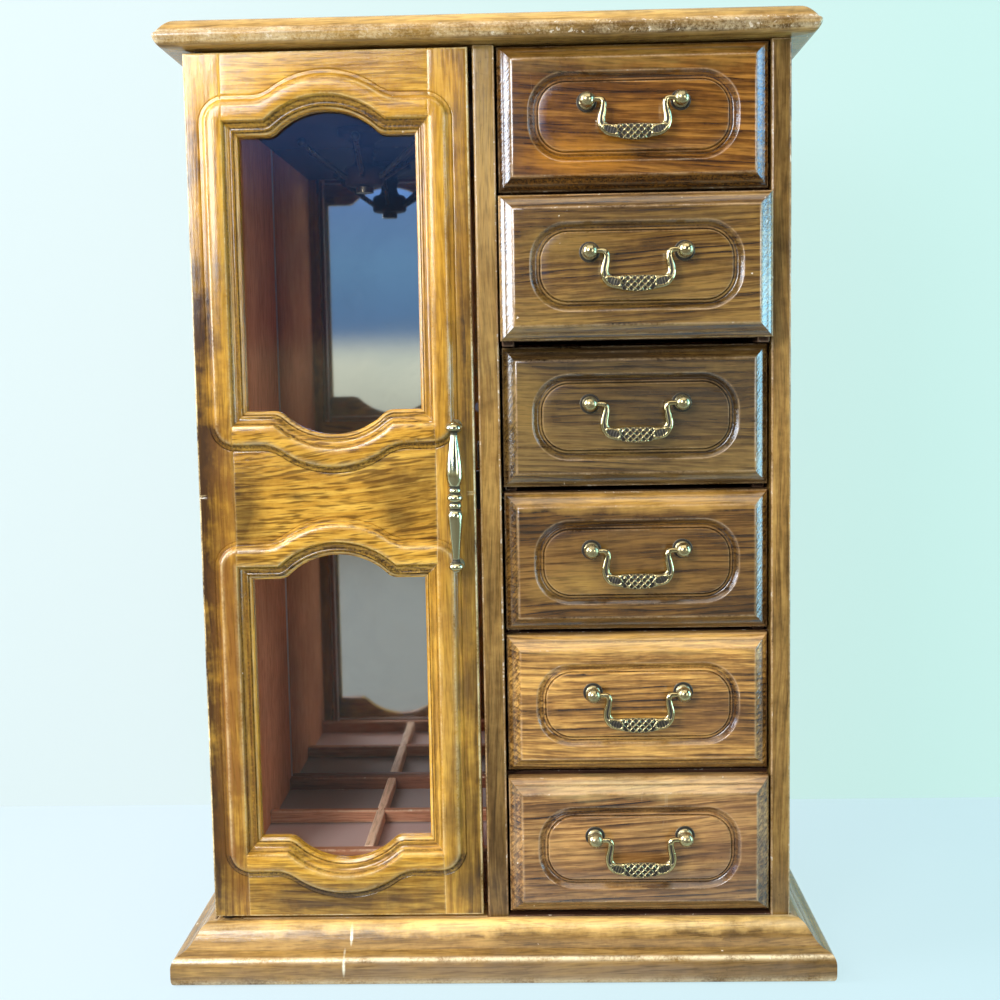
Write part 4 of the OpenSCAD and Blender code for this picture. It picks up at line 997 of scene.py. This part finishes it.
def build_pull(k):
    """Two turned posts and the hanging bail of drawer k."""
    out = DRAWER_OUT[k - 1]
    post_z = drawer_z(k) + FRONT_GAP + FRONT_HALF[1] + POST_UP
    skins = []
    for s in (-1, 1):
        points, faces = lathe(POST, [DRAWER_X + s * BAIL_SIDE, -1.7 - out, post_z], [0, -1, 0], 32)
        deep = np.repeat(bump_at(POST[:, 1], [0.8, 2.2, 2.9], [0.15, 0.4, 0.5], [0.8, 0.8, 0.6]), 32)
        skins.append((points, faces, np.zeros(len(points)), deep))
    make(f"turned_posts_{k}", f"drawer_{k}", skins, old_brass, (f"drawer_{k}_posts",), 50.0)
    bail = (BAIL[0] + [DRAWER_X, -7.7 - out, post_z],) + BAIL[1:]
    make(f"cast_bail_{k}", f"bail_{k}", [bail], old_brass, (f"drawer_{k}_bail",), 50.0)


for k in range(1, 7):
    build_drawer_front(k)
    build_drawer_box(k)
    build_pull(k)


# Door pull: the spindle's (distance down from its top, radius).
SPINDLE = np.array([
    [0, 0], [0.25, 1.0], [0.8, 2.0], [1.6, 2.95], [2.6, 3.36], [3.3, 3.15], [3.9, 2.2], [4.4, 1.6],
    [4.9, 1.4], [7, 1.75], [10, 2.3], [14, 2.9], [18, 3.32], [21.5, 3.5], [24, 3.3], [25.6, 2.8],
    [26.9, 2.15], [27.5, 2.35], [28.2, 2.6], [28.8, 2.5], [29.4, 2.15], [30, 2.7], [30.6, 3.15],
    [31.3, 3.3], [32, 3.15], [32.6, 2.7], [33.2, 2.2], [33.8, 2.6], [34.5, 2.75], [35.2, 2.6], [35.8, 2.3],
    [36.2, 2.25], [37, 2.7], [38, 3.1], [39, 3.2], [41, 3.1], [45, 2.75], [49, 2.3], [52, 1.98],
    [55.5, 1.65], [57.1, 1.5], [57.8, 1.9], [58.6, 2.7], [59.2, 3.05], [59.8, 3.1], [60.5, 2.85],
    [61.2, 2.1], [61.7, 1.2], [62.0, 0.0]])
PULL_X, PULL_Y, PULL_TOP = -15.7, -12.5, 236.6
spindle = spline(SPINDLE, 3)
spindle[:, 1] = np.clip(spindle[:, 1], 0, None)
spindle_points, spindle_faces = lathe(spindle[:, ::-1] * [1, -1], [PULL_X, PULL_Y, PULL_TOP], [0, 0, 1], 40)
spindle_deep = bump_at(spindle[:, 0], [4.6, 26.9, 29.4, 33.2, 36.0, 57.3], [0.9, 0.6, 0.4, 0.4, 0.6, 1.0], 1)
spindle_deep = np.repeat(spindle_deep, 40)
STEM = [[0, 12.0], [1.7, 11.5], [1.75, 9.5], [1.75, 2.2], [2.1, 1.2], [2.9, 0.45], [3.0, 0.0], [0, 0.0]]
pull_skins = [(spindle_points, spindle_faces, 1 - np.clip(spindle_deep, 0, 1), spindle_deep)]
for stem_z in (176.5, 234.3):
    pull_skins.append(lathe(STEM, [PULL_X, DOOR_Y0, stem_z], [0, -1, 0], 24))
make("spindle_pull", "door", pull_skins, pull_brass, ("door_pull",), 40.0)


# Case. BASE and TOP are (overhang, height) of the mouldings' sections.
NOSE = spline([[2.3, 23.0], [3.5, 22.65], [5.6, 20.95], [7.2, 18.5], [9.2, 15.6], [11.3, 13.6], [13.6, 12.45],
               [15.1, 11.6], [16.1, 10.2], [16.6, 8.4], [16.7, 7.2]], 4)
HEEL = spline([[16.7, 6], [16.7, 3.2], [16.45, 1.3], [15.7, 0.3], [14.8, 0]], 3)
BASE = np.concatenate([[[0, 0], [0, 12], [0, 22.6], [0.3, 23.0]], NOSE, HEEL])
base_wear = bump_at(np.arange(len(BASE)), [3, 12, 33, 34, 35, 52], [1, 2.5, 1.5, 1.5, 2.0, 3.0],
                    [0.4, 0.25, 0.4, 0.5, 0.5, 0.7])


def base_moulding(side):
    """The base section swept along the front, 0, or one side, -1 or 1. Mitred at 45 degrees, ends shrunk to
    a point inside."""
    over, height = BASE[:, 0], BASE[:, 1]
    t = np.linspace(-1, 1, 25)[:, None]
    if side == 0:
        rings = np.stack([t * (HALF_W + over), -over + 0 * t, height + 0 * t], -1)
        inside = np.array([[-HALF_W - 6, -6, 6], [HALF_W + 6, -6, 6]])
    else:
        y = -over + (t + 1) / 2 * (DEPTH + over)
        rings = np.stack([side * (HALF_W + over) + 0 * t, y, height + 0 * t], -1)
        inside = np.array([[side * (HALF_W + 6), -6, 6], [side * (HALF_W + 6), DEPTH, 6]])
    wear = np.concatenate([np.zeros(len(BASE)), np.tile(base_wear, len(t)), np.zeros(len(BASE))])
    where = {0: "front", -1: "left", 1: "right"}[side]
    make(f"swept_{where}_moulding", "cabinet", [loft(rings, inside) + (wear,)], case_side if side else case_long,
         (f"base_{where}_moulding",), 30.0)


for side in (0, -1, 1):
    base_moulding(side)

TOP = np.concatenate([
    spline([[6.9, 388.4], [8.0, 388.75], [9.2, 389.9], [10.1, 391.5], [10.4, 393.0], [10.15, 393.8],
            [9.6, 394.25]], 3),
    spline([[9.1, 394.7], [8.6, 395.5], [7.2, 397.2], [5.6, 398.7], [4.4, 399.4], [3.3, 399.8]], 3)])


def plan_ring(over, corner):
    """The top board's plan at one overhang: straight back, rounded front corners."""
    hw = HALF_W + over
    x = np.linspace(-1, 1, 25)
    a = np.linspace(0, np.pi / 2, 6)
    front = np.stack([x * (hw - corner), 0 * x - over], -1)
    right = np.stack([hw - corner + corner * np.sin(a), corner - over - corner * np.cos(a)], -1)[1:]
    side = np.stack([0 * x + hw, corner - over + (x + 1) / 2 * (DEPTH - corner + over)], -1)[1:]
    back = np.stack([-x * hw, 0 * x + DEPTH], -1)[1:]
    left = side[::-1] * [-1, 1]
    turn = right[::-1] * [-1, 1]
    return np.concatenate([front, right, side, back, left[1:], turn])


def build_top():
    """The top board: its edge section carried round the plan, closed by flat faces drawn in to a line."""
    low, high, step_z = STILE_TOP, TOP[-1, 1], 394.5
    rings = [plan_ring(over, 1.4) for over in TOP[:, 0]]
    closing = [plan_ring(0, 0) * [0.5, 0] + [0, 60], plan_ring(-8, 1.0)]
    plan = np.stack(closing + rings + closing[::-1])
    z = np.concatenate([[low, low], TOP[:, 1], [high, high]])
    points = np.concatenate([plan, np.broadcast_to(z[:, None, None], plan.shape[:2] + (1,))], -1)
    wear = bump_at(TOP[:, 0] + 20 * (TOP[:, 1] > step_z), [10.2, 9.5, 29.2], [0.4, 0.4, 0.5], [0.5, 0.7, 0.7])
    wear = np.repeat(np.concatenate([[0, 0], wear, [0, 0]]), plan.shape[1])
    make("moulded_top", "cabinet", [loft(points) + (wear,)], top_long, ("top_board",), 30.0)


build_top()


def panel(name, lo, hi, finish, r=0.8, body="cabinet", lining=None):
    """One board in place of one solid."""
    make(name + "_board", body, boards((lo, hi), r=r), finish, (name,), lining=lining)


panel("bottom_board", [-HALF_W, 0, 0], [HALF_W, DEPTH, 9], case_long)
panel("right_side_panel", [BAY_X1, 0, 9], [HALF_W, DEPTH, STILE_TOP], case_upright, 0.9)
panel("centre_partition", [PART_X0, 0, 9], [BAY_X0, BACK_Y, STILE_TOP], case_upright, 0.9,
      lining=(inner_upright, PART_X0))
panel("back_panel", [ROOM_X0, BACK_Y, 9], [BAY_X1, DEPTH, STILE_TOP], inner_upright, 0.4)
left_skins = boards(([-HALF_W, 10.3, BASE_H - 0.5], [ROOM_X0, DEPTH, STILE_TOP]),
                    ([-HALF_W, 0, 9], [ROOM_X0, DEPTH - 1, BASE_H]), r=0.9)
make("left_side_board", "cabinet", left_skins, case_upright, ("left_side_panel",),
     lining=(inner_upright, ROOM_X0))
shelf_tops = [drawer_z(k) + SHELF_UP for k in range(6, 0, -1)]
shelves = [([BAY_X0, 9.8 if i else 0, top - 3], [BAY_X1, BACK_Y, top]) for i, top in enumerate(shelf_tops)]
make("drawer_shelf_boards", "cabinet", boards(*shelves, r=0.4), box_wood, ("drawer_shelves",))
panel("door_sill", [ROOM_X0, 0, 17], [PART_X0, MIRROR_Y, 23], case_long)
panel("compartment_floor", [ROOM_X0, 19.5, 35.2], [PART_X0, MIRROR_Y, 41.2], inner_long)
panel("floor_felt", [ROOM_X0, 19.5, 41.2], [PART_X0, 122, 41.8], tray_felt, 0.15)
panel("tray_front_rail", [ROOM_X0, 14.5, 23], [PART_X0, 19.5, 48], tray_wood, 1.0)
panel("tray_rear_rail", [ROOM_X0, 122, 41.2], [PART_X0, 127, 48], divider_wood, 1.0)
panel("tray_cross_divider", [ROOM_X0, 68.65, 41.8], [PART_X0, 72.85, 48], tray_wood, 0.9)
panel("tray_long_divider", [-61.2, 19.5, 41.8], [-57, 122, 48.02], tan_wood, 0.9)
# The ceiling board takes the near-black hub wood: painted shade.
panel("ceiling_board", [ROOM_X0, 12, 367.5], [PART_X0, MIRROR_Y, 376.5], hub_wood_in_shade)
panel("magnet_catch", [-15.9, 11.3, 198], [-5.9, 23.3, 214], catch_plastic, 0.8)
panel("catch_plate", [-16.7, 10, 198], [-8.7, 11, 214], plain_steel, 0.25, "door")

retainers = []
for z in WINDOW_Z:
    for s in (-1, 1):
        side_x, end_z = WINDOW_X + s * 39.4, z + s * 69.0
        retainers.append(([side_x - 1.6, 5.5, z - SEAT_HALF], [side_x + 1.6, 9.0, z + SEAT_HALF]))
        retainers.append(([WINDOW_X - 37.8, 5.5, end_z - 1.6], [WINDOW_X + 37.8, 9.0, end_z + 1.6]))
make("retainer_strips", "door", boards(*retainers, r=0.8), strip_wood_lit_edges, ("glass_retainers",))


# Carousel. HUB is (radius, height). A peg rises from its foot and curves up beyond PEG_BEND.
HUB = np.array([
    [0, 0], [7.0, 0], [8.3, 0.35], [8.95, 1.3], [9.0, 2.6], [9.0, 6.2], [8.8, 7.8], [7.8, 8.8], [6.0, 9.2],
    [5.0, 9.9], [4.4, 11.2], [4.2, 13.5], [4.6, 15.4], [5.4, 16.2], [5.4, 17.0], [4.7, 17.7], [5.0, 19.0],
    [7.5, 20.8], [10.5, 21.8], [11.8, 22.6], [12.0, 23.4], [12.0, 25.6], [0, 25.6]])
ROOM = np.array([-59.1, 70.75, 341.6])
PEG_BEND = 9
hub_deep = np.repeat(bump_at(HUB[:, 1], [9.4, 15.8, 17.6], [0.8, 0.5, 0.5], [0.8, 0.7, 0.7]), 48)
hub_points, hub_faces = lathe(HUB, ROOM, [0, 0, 1], 48)
hub_skin = (hub_points, hub_faces, np.zeros(len(hub_points)), hub_deep)
make("turned_hub", "carousel", [hub_skin], hub_wood_in_shade, ("carousel_hub",), 40.0)
half_turn = np.linspace(0, np.pi, 11)
knob = 2.05 * np.stack([np.sin(half_turn), -np.cos(half_turn)], -1)
pegs = []
for turn in np.radians(30 + 60 * np.arange(6)):
    t = np.linspace(5.5, 30, 14)[:, None]
    up = 12 / 21 * (t - PEG_BEND) + 0.0048 * np.clip(t - PEG_BEND, 0, None) ** 2
    path = ROOM + [0, 0, 4.0] + t * [np.cos(turn), np.sin(turn), 0] + up * [0, 0, 1]
    pegs += [tube(path, 1.15, 14), lathe(knob, path[-1], [0, 0, 1], 18)]
make("hanging_pegs", "carousel", pegs, brass_in_shade, ("carousel_pegs",), 50.0)


def dress(name, finish):
    """Gives a solid that stays its finish."""
    piece = nodes[name]
    if not piece.material_slots:
        piece.data.materials.append(finish)
    for slot in piece.material_slots:
        slot.material = finish


# The bolt and the pivot pins take the near-black brass: painted shade.
for name, finish in (("mirror", mirror_silver), ("upper_glass", clear_glass), ("lower_glass", clear_glass),
                     ("carousel_bolt", brass_in_shade), ("door_pivot_pins", brass_in_shade),
                     ("door_pull_screws", plain_steel)):
    dress(name, finish)


# Room: table, wall, lamps and camera

def stage_material(name, left, right, mirrored=None):
    """A pale surface that looks plain to the camera, from one colour at the left to another at the right,
    and takes shadows. It looks the same in mirrors unless mirrored is given, and can be seen through from
    behind."""
    material, tree, coords = new_material(name)
    matt = put(tree, "BsdfPrincipled", {"Base Color": rgb(shade(left, 0.55)), "Roughness": 0.7})[0]
    path = put(tree, "LightPath")
    seen = calc("MAXIMUM", path["Is Camera Ray"], path["Is Glossy Ray"])
    seen = calc("MAXIMUM", seen, path["Is Transmission Ray"])
    colour = mix(step(part_of(coords, "X"), -0.2, 0.25), left, right)
    if mirrored:
        colour = mix(path["Is Glossy Ray"], colour, mirrored)
    plain = put(tree, "Emission", {"Color": colour, "Strength": 1.0})[0]
    front = put(tree, "MixShader", {0: seen * 0.85, 1: matt, 2: plain})[0]
    behind = path["Is Camera Ray"] * put(tree, "NewGeometry")["Backfacing"]
    both = put(tree, "MixShader", {0: behind, 1: front, 2: put(tree, "BsdfTransparent")[0]})[0]
    put(tree, "OutputMaterial", {"Surface": both})
    return material


def flat_stage(name, near, far, material):
    """One stage sheet, between the (y, z) of its near and its far edge."""
    mesh = bpy.data.meshes.new(name)
    mesh.from_pydata([(-3, *near), (3, *near), (3, *far), (-3, *far)], [], [(0, 1, 2, 3)])
    mesh.materials.append(material)
    piece = bpy.data.objects.new(name, mesh)
    bpy.context.scene.collection.objects.link(piece)


# The table lies 0.2 mm below the base. The floor in front of it looks dark in the glossy wood.
TABLE_Z = -0.0002
TABLE_Y = -0.17
WALL_Y = 0.172
PALE = ((0.78, 0.92, 0.98), (0.63, 0.87, 0.90))
flat_stage("table", (TABLE_Y, TABLE_Z), (WALL_Y, TABLE_Z), stage_material("table_white", *PALE))
flat_stage("floor_in_front", (-1.6, TABLE_Z), (TABLE_Y, TABLE_Z),
           stage_material("floor_grey", *PALE, (0.235, 0.195, 0.135)))
flat_stage("wall", (WALL_Y, -0.5), (WALL_Y, 3),
           stage_material("wall_mint", (0.78, 0.91, 0.91), (0.61, 0.91, 0.83)))


def lamp(name, place, aim, size, power, colour):
    """A soft rectangular lamp."""
    data = bpy.data.lights.new(name, "AREA")
    data.shape = "RECTANGLE"
    data.size, data.size_y = size
    data.energy = power
    data.color = colour
    piece = bpy.data.objects.new(name, data)
    bpy.context.scene.collection.objects.link(piece)
    piece.location = place
    ahead = np.array(aim, float) - np.array(place, float)
    yaw = np.arctan2(ahead[1], ahead[0]) - np.pi / 2
    pitch = np.arctan2(ahead[2], np.hypot(ahead[0], ahead[1])) + np.pi / 2
    piece.rotation_euler = (pitch, 0, yaw)


lamp("window_left", (-1.0, -0.24, 0.66), (0, -0.06, 0.3), (0.48, 0.88), 25.0, (0.84, 0.91, 1.0))
lamp("window_right", (1.0, -0.13, 0.16), (0.1, -0.06, 0.22), (0.46, 0.46), 8.0, (0.36, 0.78, 1.0))
lamp("window_right_top", (1.0, -0.13, 0.62), (0.1, -0.06, 0.22), (0.46, 0.34), 4.4, (0.22, 0.60, 1.0))
lamp("ceiling_soft", (0.0, -0.60, 1.3), (0, 0, 0.2), (1.6, 1.0), 10.0, (1.0, 0.93, 0.84))
lamp("window_upper_left", (-0.475, -1.0, 0.60), (0, 0, 0.25), (0.30, 0.48), 10.0, (0.93, 0.97, 1.0))
lamp("window_top", (-0.24, -1.0, 0.72), (0, 0, 0.25), (0.26, 0.30), 1.8, (0.95, 0.98, 1.0))
lamp("front_right", (0.80, -1.0, 0.42), (0, 0, 0.2), (0.35, 0.50), 4.0, (0.80, 0.92, 1.0))

world = bpy.data.worlds.new("room_light")
bpy.context.scene.world = world
world.use_nodes = True
sky = world.node_tree
direction = put(sky, "TexCoord")["Generated"]
rise = part_of(direction, "Z")
ramp = put(sky, "ValToRGB", {"Fac": rise * 0.5 + 0.5})[0]
stops = [(0.0, (0.16, 0.17, 0.17)), (0.40, (0.20, 0.19, 0.16)), (0.46, (0.34, 0.33, 0.27)),
         (0.502, (0.80, 0.80, 0.64)), (0.512, (0.12, 0.22, 0.40)), (0.535, (0.15, 0.29, 0.48)),
         (0.555, (0.15, 0.26, 0.48)), (0.58, (0.32, 0.75, 2.0)), (0.62, (0.20, 0.38, 0.95)),
         (0.72, (0.08, 0.10, 0.16)), (1.0, (0.28, 0.30, 0.33))]
bands = ramp.socket.node.color_ramp.elements
bands.remove(bands[1])
for place, colour in stops:
    band = bands[0] if place == 0.0 else bands.new(place)
    band.color = rgb(colour)
# A dull patch of sky at the upper right keeps glints off the glass.
dull = step(part_of(direction, "X"), -0.07, -0.02) * step(rise, 0.03, 0.07)
light = mix(dull, ramp, (0.06, 0.06, 0.06))
shown = mix(put(sky, "LightPath")["Is Camera Ray"], light, (0.62, 0.80, 0.82))
sky.links.new(shown.socket, sky.nodes["Background"].inputs[0])

view = bpy.data.cameras.new("camera")
view.lens = 50.31
view.sensor_width = 36.0
camera = bpy.data.objects.new("camera", view)
camera.location = (0.017435, -0.6382, 0.260018)
camera.rotation_euler = tuple(np.radians([84.390, 1.0111, 1.388]))
bpy.context.scene.collection.objects.link(camera)
bpy.context.scene.camera = camera
bpy.context.scene.view_settings.view_transform = "Standard"
